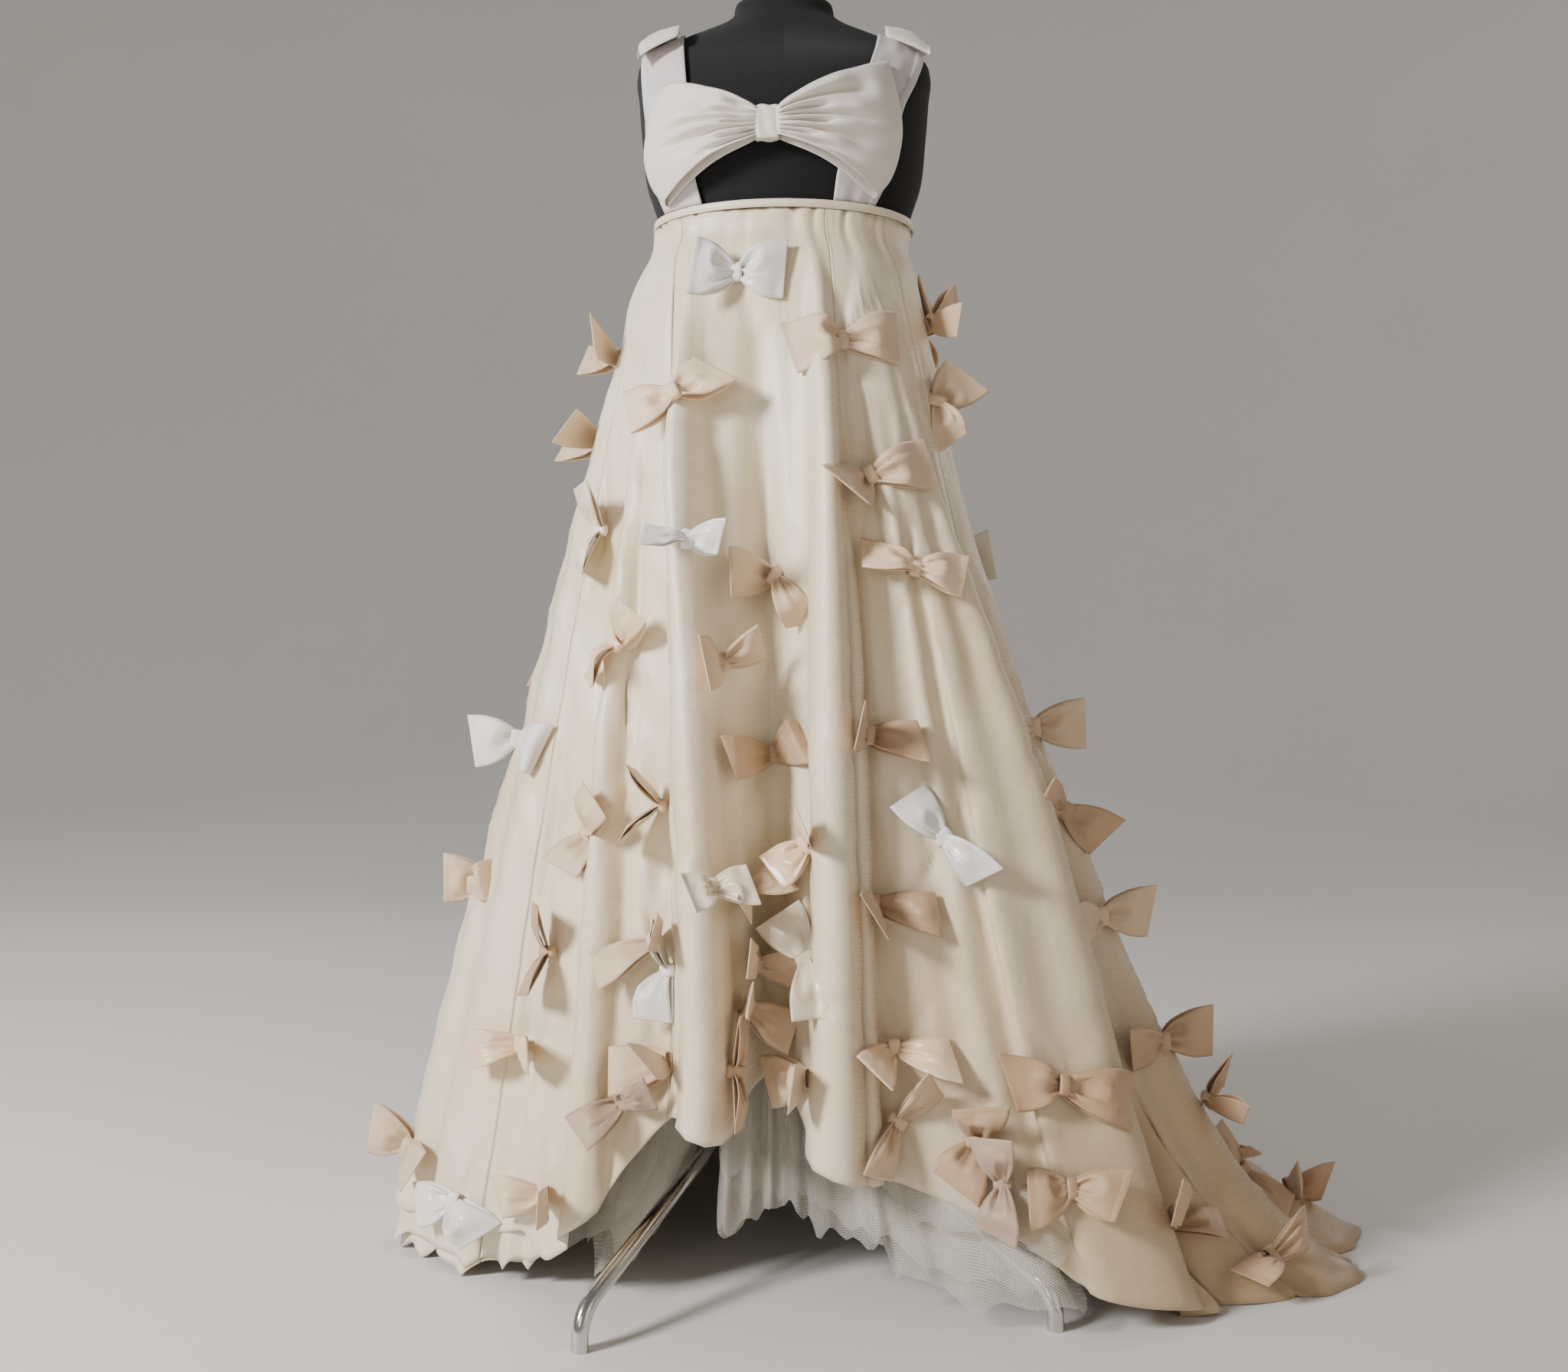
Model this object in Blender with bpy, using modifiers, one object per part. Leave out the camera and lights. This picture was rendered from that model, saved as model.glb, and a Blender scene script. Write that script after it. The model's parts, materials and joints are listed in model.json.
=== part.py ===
"""Wedding dress on a dress form with a tube stand.

The skirt is silk taffeta in eight gores, high at the front and swept into a train at one side. It
hangs from a bound top edge on two straps. A great bow crosses the bust, small bows are tacked on
all over, and a net petticoat hangs underneath. Everything is in metres with +Z up, and the stand's
pole is the centre of the plan while the pieces are worked out. The front faces -Y. An angle is
measured round the pole from the front, positive towards the train (+X).
"""

import math

import bmesh
import bpy
import numpy as np
from mathutils import Matrix, Vector
from mathutils.bvhtree import BVHTree

SEAM_GAP = 0.0003
TAFFETA = 0.0015
NET = 0.0012
RIBBON = 0.0014

# The skirt, from its bound top edge to the hem
SKIRT_TOP = 1.160
TOP_HALF_WIDTH = 0.149
TOP_HALF_DEPTH = 0.112
TOP_NIP = 0.008
NIP_DROP = 0.028
FLARE_POWER = 0.91
SWEPT_FLARE = 0.9
SWEEP_POWER = 10
DRIFT_POWER = 1.7
SKIRT_ROWS = 13
BINDING_HEIGHT = 0.009
BINDING_THICKNESS = 0.0022
BINDING_PROUD = 0.0006
BINDING_SIDES = 48

# One row for each place where the hem turns: its angle, the angle of the same line of cloth at the
# top edge, how far the hem reaches from the pole, its height, and how much of the flare is left to
# the last stretch above the floor
HEM_COLUMNS = ("angle", "top_angle", "reach", "height", "sweep")
HEM = (
    (-150, -152, 0.480, 0.001, 0.19),
    (-122, -126, 0.462, 0.001, 0.09),
    (-97, -104, 0.452, 0.001, 0.02),
    (-80, -91, 0.430, 0.001, 0.00),
    (-66, -83, 0.385, 0.003, 0.00),
    (-52, -78, 0.330, 0.030, 0.00),
    (-43, -73, 0.303, 0.070, 0.00),
    (-34, -66, 0.285, 0.150, 0.00),
    (-22, -55, 0.262, 0.200, 0.00),
    (-14, -46, 0.258, 0.182, 0.00),
    (-10, -34, 0.225, 0.212, 0.00),
    (-4, -18, 0.205, 0.224, 0.00),
    (3, 3, 0.215, 0.218, 0.00),
    (7, 11, 0.250, 0.172, 0.00),
    (12, 17, 0.265, 0.146, 0.00),
    (24, 26, 0.285, 0.132, 0.00),
    (34, 31, 0.330, 0.108, 0.02),
    (39, 34, 0.372, 0.085, 0.05),
    (43, 37, 0.410, 0.056, 0.08),
    (48, 41, 0.428, 0.028, 0.11),
    (55, 47, 0.460, 0.003, 0.15),
    (63, 56, 0.530, 0.001, 0.23),
    (72, 66, 0.585, 0.001, 0.30),
    (82, 77, 0.635, 0.001, 0.39),
    (93, 89, 0.645, 0.001, 0.45),
    (104, 101, 0.640, 0.001, 0.51),
    (116, 114, 0.605, 0.001, 0.51),
    (135, 134, 0.560, 0.001, 0.43),
    (155, 155, 0.535, 0.001, 0.32),
    (180, 180, 0.510, 0.001, 0.24),
)

# Folds that run down the skirt along a line of its cloth: the hem angle of that line, where the
# fold starts and is full, its half width at the top and at the hem, how far it stands out at the
# hem, how upright its walls are, and how far it leans towards the train
FOLD_COLUMNS = ("angle", "start", "full", "top_width", "hem_width", "depth", "square", "lean")
FOLDS = (
    (-15.5, 0.04, 0.60, 0.024, 0.037, 0.046, 0.22, 0.10),
    (-3.0, 0.06, 0.70, 0.020, 0.036, -0.034, 0.00, 0.00),
    (12.0, 0.00, 0.75, 0.014, 0.032, 0.040, 0.20, -0.05),
    (-43.0, 0.38, 0.85, 0.010, 0.018, 0.026, 0.16, 0.00),
    (-31.0, 0.30, 0.90, 0.020, 0.040, -0.014, 0.00, 0.00),
    (25.0, 0.25, 0.90, 0.020, 0.042, -0.018, 0.00, 0.00),
    (51.0, 0.10, 0.85, 0.028, 0.056, 0.048, 0.10, 0.75),
    (63.5, 0.20, 0.85, 0.020, 0.036, -0.040, 0.00, -0.30),
    (73.0, 0.30, 0.92, 0.026, 0.050, 0.036, 0.08, 0.70),
    (82.0, 0.50, 0.95, 0.020, 0.036, -0.030, 0.00, -0.30),
    (90.0, 0.60, 1.00, 0.024, 0.050, 0.026, 0.05, 0.50),
    (-62.0, 0.45, 1.00, 0.022, 0.046, -0.012, 0.00, 0.00),
    (-84.0, 0.35, 1.00, 0.030, 0.052, 0.014, 0.00, 0.00),
    (-112.0, 0.30, 1.00, 0.028, 0.056, -0.020, 0.00, 0.00),
    (-136.0, 0.20, 0.95, 0.028, 0.052, 0.030, 0.06, -0.30),
    (-160.0, 0.25, 0.95, 0.026, 0.056, -0.024, 0.00, 0.00),
    (176.0, 0.15, 0.95, 0.026, 0.050, 0.032, 0.08, 0.10),
    (158.0, 0.25, 0.95, 0.026, 0.054, -0.026, 0.00, 0.00),
    (138.0, 0.20, 0.95, 0.026, 0.054, 0.032, 0.06, 0.30),
    (118.0, 0.35, 1.00, 0.028, 0.056, -0.020, 0.00, 0.00),
)

# Gores, by the hem angles of their two seams and the columns of faces across each
GORE_COLUMNS = ("name", "start", "end", "columns")
GORES = (
    ("skirt_centre_front", -27.0, 20.0, 24),
    ("skirt_side_front_train", 20.0, 64.0, 18),
    ("skirt_side_train", 64.0, 106.0, 16),
    ("skirt_side_back_train", 106.0, 148.0, 12),
    ("skirt_centre_back", 148.0, 208.0, 15),
    ("skirt_side_back_short", 208.0, 252.0, 11),
    ("skirt_side_short", 252.0, 296.0, 12),
    ("skirt_side_front_short", 296.0, 333.0, 15),
)


def columns_of(rows, names):
    """A table's columns by name, as arrays."""
    return {name: np.array(values) for name, values in zip(names, zip(*rows))}


def smooth_curve(stations, values, wanted, period=None):
    """Values at the wanted places, on a smooth curve through the rows of a table."""
    order = np.argsort(stations)
    stations = np.asarray(stations, float)[order]
    values = np.asarray(values, float)[order]
    wanted = np.asarray(wanted, float)
    if period:
        wanted = stations[0] + (wanted - stations[0]) % period
        stations = np.concatenate(
            [stations[-2:] - period, stations, stations[:2] + period]
        )
        values = np.concatenate([values[-2:], values, values[:2]])
    slopes = np.gradient(values, stations)
    place = np.clip(np.searchsorted(stations, wanted) - 1, 0, len(stations) - 2)
    width = stations[place + 1] - stations[place]
    part = np.clip((wanted - stations[place]) / width, 0, 1)
    rising = part * part * (3 - 2 * part)
    start = part * (1 - part) ** 2 * width * slopes[place]
    end = part**2 * (part - 1) * width * slopes[place + 1]
    return values[place] * (1 - rising) + values[place + 1] * rising + start + end


def smooth_step(low, high, value):
    part = np.clip((value - low) / (high - low), 0, 1)
    return part * part * (3 - 2 * part)


def ring_reach(half_width, half_depth, turn):
    """Distance from the centre of an oval to its edge, turn in radians from the front."""
    return 1 / np.sqrt((np.sin(turn) / half_width) ** 2 + (np.cos(turn) / half_depth) ** 2)


def hem_value(name, angle):
    rows = columns_of(HEM, HEM_COLUMNS)
    if name == "top_angle":
        shift = smooth_curve(rows["angle"], rows["top_angle"] - rows["angle"], angle, 360)
        return angle + shift
    return smooth_curve(rows["angle"], rows[name], angle, 360)


def cloth_turn(angle, drop):
    """Angle round the pole, in degrees, of a line of cloth at some drop below the top edge."""
    return angle + (hem_value("top_angle", angle) - angle) * (1 - drop) ** DRIFT_POWER


def skirt_point(angle, drop):
    """Point of the skirt's outer face: hem angle in degrees, drop from 0 at the top to 1 at the hem."""
    angle, drop = np.broadcast_arrays(np.asarray(angle, float), np.asarray(drop, float))
    turn = np.radians(cloth_turn(angle, np.clip(drop, 0, 1)))
    sweep = np.clip(hem_value("sweep", angle), 0, 1)
    power = FLARE_POWER + SWEPT_FLARE * sweep
    flare = (1 - sweep) * drop**power + sweep * drop**SWEEP_POWER
    top = ring_reach(TOP_HALF_WIDTH, TOP_HALF_DEPTH, turn)
    reach = top + (hem_value("reach", angle) - top) * flare
    reach = reach - TOP_NIP * np.exp(-(((drop - NIP_DROP) / (0.7 * NIP_DROP)) ** 2))
    height = SKIRT_TOP - drop * (SKIRT_TOP - np.maximum(hem_value("height", angle), 0.001))
    outward = np.stack([np.sin(turn), -np.cos(turn)], -1)
    along = np.stack([np.cos(turn), np.sin(turn)], -1)
    plan = outward * reach[..., None]
    for row in FOLDS:
        fold = dict(zip(FOLD_COLUMNS, row))
        centre = np.radians(cloth_turn(fold["angle"], np.clip(drop, 0, 1)))
        off = (turn - centre + math.pi) % (2 * math.pi) - math.pi
        width = fold["top_width"] + (fold["hem_width"] - fold["top_width"]) * drop
        place = np.clip(off * reach / width, -1, 1)
        grown = smooth_step(fold["start"], fold["full"], drop)
        bell = np.cos(place * math.pi / 2) ** 2 * grown
        side = fold["square"] * width * np.sin(place * math.pi) * grown
        side = side + fold["lean"] * abs(fold["depth"]) * bell
        plan = plan + outward * (fold["depth"] * bell)[..., None] + along * side[..., None]
    return np.concatenate([plan, height[..., None]], -1)


def facing(surface, first, second, step=(0.15, 0.002)):
    """Unit normals of a surface of two values, pointing away from the pole."""
    across = surface(first + step[0], second) - surface(first - step[0], second)
    down = surface(first, second + step[1]) - surface(first, second - step[1])
    normal = np.cross(down, across)
    return normal / np.linalg.norm(normal, axis=-1, keepdims=True)


def solid(name, points, faces, material):
    """A named object from points and faces, turned to face outward if it is inside out."""
    mesh = bpy.data.meshes.new(name)
    mesh.from_pydata([tuple(point) for point in points], [], faces)
    shape = bmesh.new()
    shape.from_mesh(mesh)
    if shape.calc_volume(signed=True) < 0:
        bmesh.ops.reverse_faces(shape, faces=shape.faces)
    shape.to_mesh(mesh)
    shape.free()
    return place(name, mesh, material)


def place(name, mesh, material):
    """Puts a mesh into the dress's collection, shaded smooth up to its edges."""
    mesh.shade_smooth()
    mesh.set_sharp_from_angle(angle=math.radians(40))
    mesh.materials.clear()
    mesh.materials.append(material)
    obj = bpy.data.objects.new(name, mesh)
    bpy.data.collections["wedding_dress"].objects.link(obj)
    return obj


def grid_faces(rows, columns, first, round_columns=False, round_rows=False):
    """Triangles of a grid of points that starts at the point numbered first."""
    faces = []
    for row in range(rows if round_rows else rows - 1):
        below = (row + 1) % rows
        for column in range(columns if round_columns else columns - 1):
            beside = (column + 1) % columns
            a = first + row * columns + column
            b = first + row * columns + beside
            c = first + below * columns + beside
            d = first + below * columns + column
            faces += [(a, b, c), (a, c, d)]
    return faces


def strip_faces(outer, inner):
    """Triangles that close the edge between two lines of point numbers."""
    faces = []
    for place_on in range(len(outer) - 1):
        a, b = outer[place_on], outer[place_on + 1]
        c, d = inner[place_on + 1], inner[place_on]
        faces += [(a, c, b), (a, d, c)]
    return faces


def wall(name, outer, inner, material, round_columns=False, round_rows=False):
    """A closed wall of cloth between two grids of points with like rows and columns."""
    rows, columns = outer.shape[:2]
    count = rows * columns
    number = np.arange(count).reshape(rows, columns)
    faces = grid_faces(rows, columns, 0, round_columns, round_rows)
    faces += [
        (c, b, a) for a, b, c in grid_faces(rows, columns, count, round_columns, round_rows)
    ]
    if not round_rows:
        for line, turned in ((number[0], 1), (number[-1], -1)):
            line = list(line) + ([line[0]] if round_columns else [])
            line = line[::turned]
            faces += strip_faces(line, [value + count for value in line])
    if not round_columns:
        for line, turned in ((number[:, -1], 1), (number[:, 0], -1)):
            line = list(line) + ([line[0]] if round_rows else [])
            line = line[::turned]
            faces += strip_faces(line, [value + count for value in line])
    points = np.concatenate([outer.reshape(-1, 3), inner.reshape(-1, 3)])
    return solid(name, points, faces, material)


def loft(name, rings, material):
    """A closed body through rings of points, closed flat at both ends."""
    rows, columns = rings.shape[:2]
    faces = grid_faces(rows, columns, 0, round_columns=True)
    faces.append(list(range(columns))[::-1])
    faces.append([(rows - 1) * columns + column for column in range(columns)])
    return solid(name, rings.reshape(-1, 3), faces, material)


def tree_of(obj):
    points = [obj.matrix_basis @ vertex.co for vertex in obj.data.vertices]
    faces = [tuple(face.vertices) for face in obj.data.polygons]
    return BVHTree.FromPolygons(points, faces)


def seat(obj, outward, neighbours, step=0.0004, reach=0.08):
    """Moves a piece outward from where it is sunk in its neighbours until it just clears them."""
    trees = [tree_of(neighbour) for neighbour in neighbours]
    outward = Vector(outward)
    for _ in range(round(reach / step)):
        if not any(tree_of(obj).overlap(tree) for tree in trees):
            break
        obj.data.transform(Matrix.Translation(outward * step))
    obj.data.transform(Matrix.Translation(outward * SEAM_GAP))


def finish(name, colour, roughness, metallic=0.0):
    """A plain material with the piece's colour in linear light."""
    material = bpy.data.materials.new(name)
    material.use_nodes = True
    shader = material.node_tree.nodes["Principled BSDF"]
    shader.inputs["Base Color"].default_value = (*colour, 1.0)
    shader.inputs["Roughness"].default_value = roughness
    shader.inputs["Metallic"].default_value = metallic
    material.diffuse_color = (*colour, 1.0)
    return material


# The dress form: height, half width, and half depth in front and behind
FORM_COLUMNS = ("height", "half_width", "front", "back")
FORM = (
    (0.800, 0.140, 0.088, 0.100),
    (0.815, 0.156, 0.100, 0.113),
    (0.860, 0.164, 0.106, 0.122),
    (0.950, 0.150, 0.099, 0.110),
    (1.050, 0.129, 0.092, 0.092),
    (1.110, 0.136, 0.097, 0.094),
    (1.165, 0.1455, 0.104, 0.099),
    (1.205, 0.158, 0.116, 0.102),
    (1.250, 0.163, 0.120, 0.105),
    (1.300, 0.167, 0.105, 0.105),
    (1.330, 0.169, 0.082, 0.090),
    (1.347, 0.163, 0.066, 0.074),
    (1.362, 0.140, 0.057, 0.064),
    (1.374, 0.112, 0.052, 0.058),
    (1.385, 0.080, 0.049, 0.054),
    (1.395, 0.062, 0.047, 0.050),
    (1.412, 0.057, 0.046, 0.048),
)
FORM_SIDES = 24


def form_value(name, height):
    rows = columns_of(FORM, FORM_COLUMNS)
    return smooth_curve(rows["height"], rows[name], height)


def oval_point(half_width, front, back, height, turn):
    """Point of an oval section that may be deeper in front than behind."""
    depth = np.where(np.cos(turn) > 0, front, back)
    x = half_width * np.sin(turn)
    return np.stack([x, -depth * np.cos(turn), np.broadcast_to(height, x.shape)], -1)


def make_form(material):
    turns = np.radians(np.arange(FORM_SIDES) * 360 / FORM_SIDES)
    rings = [oval_point(row[1], row[2], row[3], row[0], turns) for row in FORM]
    return loft("form_torso", np.array(rings)[::-1], material)


SHOULDER_CENTRE = 1.262
STRAP_END = 1.1606
STRAP_TURN_DOWN = 42


def over_shoulder(x, turn, offset):
    """Point of the form, moved out by offset, in the upright plane at x: turn 0 forward, 90 up."""
    if turn < 0 or turn > 180:
        below = -turn if turn < 0 else turn - 180
        height = SHOULDER_CENTRE - below / STRAP_TURN_DOWN * (SHOULDER_CENTRE - STRAP_END)
        half_width = float(form_value("half_width", height)) + offset
        depth = float(form_value("front" if turn < 0 else "back", height)) + offset
        y = depth * math.sqrt(max(1 - (x / half_width) ** 2, 0))
        return np.array([x, -y if turn < 0 else y, height])
    low, high = 0.0, 0.30
    for _ in range(40):
        middle = (low + high) / 2
        height = SHOULDER_CENTRE + middle * math.sin(math.radians(turn))
        y = -middle * math.cos(math.radians(turn))
        half_width = float(form_value("half_width", height)) + offset
        depth = float(form_value("front" if y < 0 else "back", height)) + offset
        above = height > FORM[-1][0] + offset
        inside = not above and (x / half_width) ** 2 + (y / depth) ** 2 < 1
        low, high = (middle, high) if inside else (low, middle)
    return np.array([x, y, height])


# The two straps: turn over the shoulder and the x of the outer and the inner edge there
STRAP_COLUMNS = ("turn", "outer", "inner")
STRAPS = {
    "strap_short_side": (
        (-42, -0.1340, -0.0900),
        (-30, -0.1460, -0.0980),
        (-15, -0.1540, -0.1030),
        (10, -0.1570, -0.1060),
        (40, -0.1600, -0.1100),
        (70, -0.1620, -0.1130),
        (90, -0.1600, -0.1130),
        (120, -0.1600, -0.1120),
        (160, -0.1560, -0.1060),
        (190, -0.1480, -0.0960),
        (222, -0.1300, -0.0820),
    ),
    "strap_train_side": (
        (-42, 0.1010, 0.0540),
        (-30, 0.1150, 0.0580),
        (-15, 0.1240, 0.0680),
        (10, 0.1350, 0.0830),
        (40, 0.1490, 0.0970),
        (70, 0.1590, 0.1060),
        (90, 0.1600, 0.1090),
        (120, 0.1600, 0.1100),
        (160, 0.1560, 0.1040),
        (190, 0.1460, 0.0940),
        (222, 0.1260, 0.0790),
    ),
}
STRAP_STATIONS = 22
STRAP_STRIPS = 4
STRAP_CLEARANCE = 0.0040


def strap_point(name, turn, part, offset):
    rows = columns_of(STRAPS[name], STRAP_COLUMNS)
    outer = float(smooth_curve(rows["turn"], rows["outer"], turn))
    inner = float(smooth_curve(rows["turn"], rows["inner"], turn))
    return over_shoulder(outer + (inner - outer) * part, turn, offset)


def make_strap(name, material):
    turns = np.linspace(-STRAP_TURN_DOWN, 180 + STRAP_TURN_DOWN, STRAP_STATIONS)
    parts = np.linspace(0, 1, STRAP_STRIPS + 1)
    layers = [
        np.array([[strap_point(name, turn, part, offset) for part in parts] for turn in turns])
        for offset in (STRAP_CLEARANCE + TAFFETA, STRAP_CLEARANCE)
    ]
    return wall(name, layers[0], layers[1], material)


def bust_point(x, height, offset):
    """Point in front of the bust, moved out by offset."""
    half_width = form_value("half_width", height) + offset + 0.004
    front = form_value("front", height) + offset
    return np.stack([x, -front * np.sqrt(np.maximum(1 - (x / half_width) ** 2, 0.02)), height], -1)


# The two wings of the bust bow: part of the way from the lower to the upper edge, and the x and
# height of the wing's end there
WING_COLUMNS = ("part", "x", "height")
WINGS = {
    "bust_bow_wing_short_side": (
        (0.00, -0.1310, 1.1640),
        (0.20, -0.1470, 1.1850),
        (0.45, -0.1565, 1.2160),
        (0.70, -0.1535, 1.2440),
        (1.00, -0.1330, 1.2840),
    ),
    "bust_bow_wing_train_side": (
        (0.00, 0.0990, 1.1680),
        (0.20, 0.1160, 1.1880),
        (0.45, 0.1270, 1.2180),
        (0.70, 0.1290, 1.2480),
        (1.00, 0.1130, 1.2980),
    ),
}
KNOT_X = -0.0180
KNOT_HALF_WIDTH = 0.0125
KNOT_LOW = 1.2170
KNOT_HIGH = 1.2520
KNOT_DEPTH = 0.016
BUST_BACK_OFFSET = 0.0050
BUST_LOOP_DEPTH = 0.016
WING_STATIONS = 7
WING_STRIPS = 5
WING_FOLD = 0.985
WING_FOLD_INSIDE = 0.97


def wing_point(name, along, part, offset):
    """Point of a wing of the bust bow: along from 0 at the knot to 1 at its end."""
    rows = columns_of(WINGS[name], WING_COLUMNS)
    end_x = smooth_curve(rows["part"], rows["x"], part)
    end_height = smooth_curve(rows["part"], rows["height"], part)
    side = math.copysign(1, rows["x"][0])
    start_x = KNOT_X + side * (KNOT_HALF_WIDTH + SEAM_GAP)
    start_height = KNOT_LOW + 0.004 + (KNOT_HIGH - KNOT_LOW - 0.008) * part
    x = start_x + (end_x - start_x) * along
    spread = along**0.8
    height = start_height + (end_height - start_height) * spread
    sag = 0.010 * np.sin(math.pi * along) * (1 - part)
    return bust_point(x, height + sag, offset)


def make_wing(name, material):
    """A loop of ribbon: out from the knot in front, folded at its end, and back behind."""
    along = np.concatenate(
        [np.linspace(0, WING_FOLD, WING_STATIONS), np.linspace(WING_FOLD, 0, WING_STATIONS)]
    )
    layer = np.concatenate([np.ones(WING_STATIONS), np.zeros(WING_STATIONS)])
    parts = np.linspace(0, 1, WING_STRIPS + 1)
    part = np.broadcast_to(parts, (len(along), len(parts)))
    folded = along > WING_FOLD_INSIDE
    outer_along = np.where(folded, 1.0, along)[:, None] + 0 * part
    inner_along = np.where(folded, WING_FOLD_INSIDE, along)[:, None] + 0 * part
    bulge = BUST_LOOP_DEPTH * np.sin(math.pi * np.minimum(along, 1)) ** 0.7 + 0.006
    middle = BUST_BACK_OFFSET + 0.006 * (1 - along)
    outer_offset = middle + np.where(layer > 0, bulge, 0.0)
    inner_offset = outer_offset + np.where(layer > 0, -RIBBON, RIBBON)
    outer = wing_point(name, outer_along, part, outer_offset[:, None])
    inner = wing_point(name, inner_along, part, inner_offset[:, None])
    return wall(name, outer, inner, material)


def make_bust_knot(material):
    """The plain upright band that gathers the two wings."""
    bpy.ops.mesh.primitive_cube_add(size=1)
    knot = bpy.context.object
    centre = bust_point(np.array(KNOT_X), np.array((KNOT_LOW + KNOT_HIGH) / 2), 0.0)
    size = (2 * KNOT_HALF_WIDTH, KNOT_DEPTH, KNOT_HIGH - KNOT_LOW)
    middle = centre - np.array([0, BUST_BACK_OFFSET + KNOT_DEPTH / 2, 0])
    bpy.context.collection.objects.unlink(knot)
    knot.data.transform(Matrix.Translation(middle) @ Matrix.Diagonal((*size, 1)))
    band = place("bust_bow_knot", knot.data, material)
    bpy.data.objects.remove(knot)
    rounding = band.modifiers.new("rounded", "BEVEL")
    rounding.width = 0.004
    rounding.segments = 2
    return band


# A small bow is one loop of ribbon, pinched in the middle: how far along each half the section
# stands, the front layer first and then back along the layer behind
BOW_FRONT = (-1.0, -0.80, -0.42, -0.12, 0.12, 0.42, 0.80, 1.0)
BOW_BEHIND = (0.80, 0.42, 0.12, -0.12, -0.42, -0.80)
BOW_DEPTH = 0.012
BOW_KNOT_HALF_HEIGHT = 0.0095
BOW_KNOT_SWELL = 0.0030
BOW_FOLLOW = 0.6
BOW_HALF_SPAN = 0.035
BOW_HALF_DROP = 0.03
BOW_MOST_RISE = 0.03
BOW_MOST_DIP = 0.04


def bow_layers(length, end_height):
    """Outer and inner points of a bow before it is placed: along, across and out of the cloth."""
    along = np.array(BOW_FRONT + BOW_BEHIND)
    layer = np.array([1.0] * len(BOW_FRONT) + [0.0] * len(BOW_BEHIND))
    tip = np.abs(along) > 0.99
    swell = np.where(np.abs(along) < 0.2, BOW_KNOT_SWELL, 0)
    half = BOW_KNOT_HALF_HEIGHT
    half = half + (end_height / 2 - half) * np.abs(along) ** 0.8
    depth = 0.004 + (BOW_DEPTH - 0.004) * np.sin(math.pi * np.abs(along)) ** 0.8
    out = np.where(tip, 0.004, np.where(layer > 0, depth + swell, 0.0))
    outer = np.stack([along * length / 2, half, out], -1)
    inside = np.where(tip, 0.0, np.where(layer > 0, -RIBBON - swell, RIBBON))
    inner = outer + np.stack([-np.sign(along) * tip * 2 * RIBBON, 0 * along, inside], -1)
    layers = []
    for half_loop in (outer, inner):
        lower = half_loop * (1, -1, 1)
        layers.append(np.stack([lower, half_loop], 1))
    return layers


def bow_frame(angle, drop, tilt, fronted):
    """Centre, outward direction and the two directions of a bow that lies on the skirt."""
    centre = skirt_point(angle, drop)
    broad = (math.degrees(BOW_HALF_SPAN / np.linalg.norm(centre[:2])), BOW_HALF_DROP)
    normal = facing(skirt_point, np.array(angle), np.array(drop), broad)
    normal = normal * (1 - fronted) + np.array([0, -1.0, 0]) * fronted
    normal = normal / np.linalg.norm(normal)
    level = np.cross(np.array([0, 0, 1.0]), normal)
    level = level / np.linalg.norm(level)
    upward = np.cross(normal, level)
    turned = math.radians(tilt)
    first = level * math.cos(turned) + upward * math.sin(turned)
    second = upward * math.cos(turned) - level * math.sin(turned)
    return centre, normal, first, second


def follow_skirt(angle, drop, tilt, fronted, local):
    """Places a bow's points on the skirt: pushed out by a hollow, bent a little round a ridge."""
    centre, normal, first, second = bow_frame(angle, drop, tilt, fronted)
    flat = centre + local[..., :1] * first + local[..., 1:2] * second
    by_angle = skirt_point(angle + 0.5, drop) - skirt_point(angle - 0.5, drop)
    by_drop = (skirt_point(angle, drop + 0.005) - skirt_point(angle, drop - 0.005)) / 0.01
    steps = np.stack([by_angle, by_drop], -1)
    change = (flat - centre) @ np.linalg.pinv(steps).T
    under = skirt_point(angle + change[..., 0], np.clip(drop + change[..., 1], 0.01, 1))
    rise = ((under - flat) * normal).sum(-1)
    bent = np.maximum(rise, -BOW_MOST_DIP) * BOW_FOLLOW * (1 - fronted)
    bend = np.where(rise > 0, np.minimum(rise, BOW_MOST_RISE), bent)
    return flat + normal * (bend + local[..., 2])[..., None]


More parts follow.
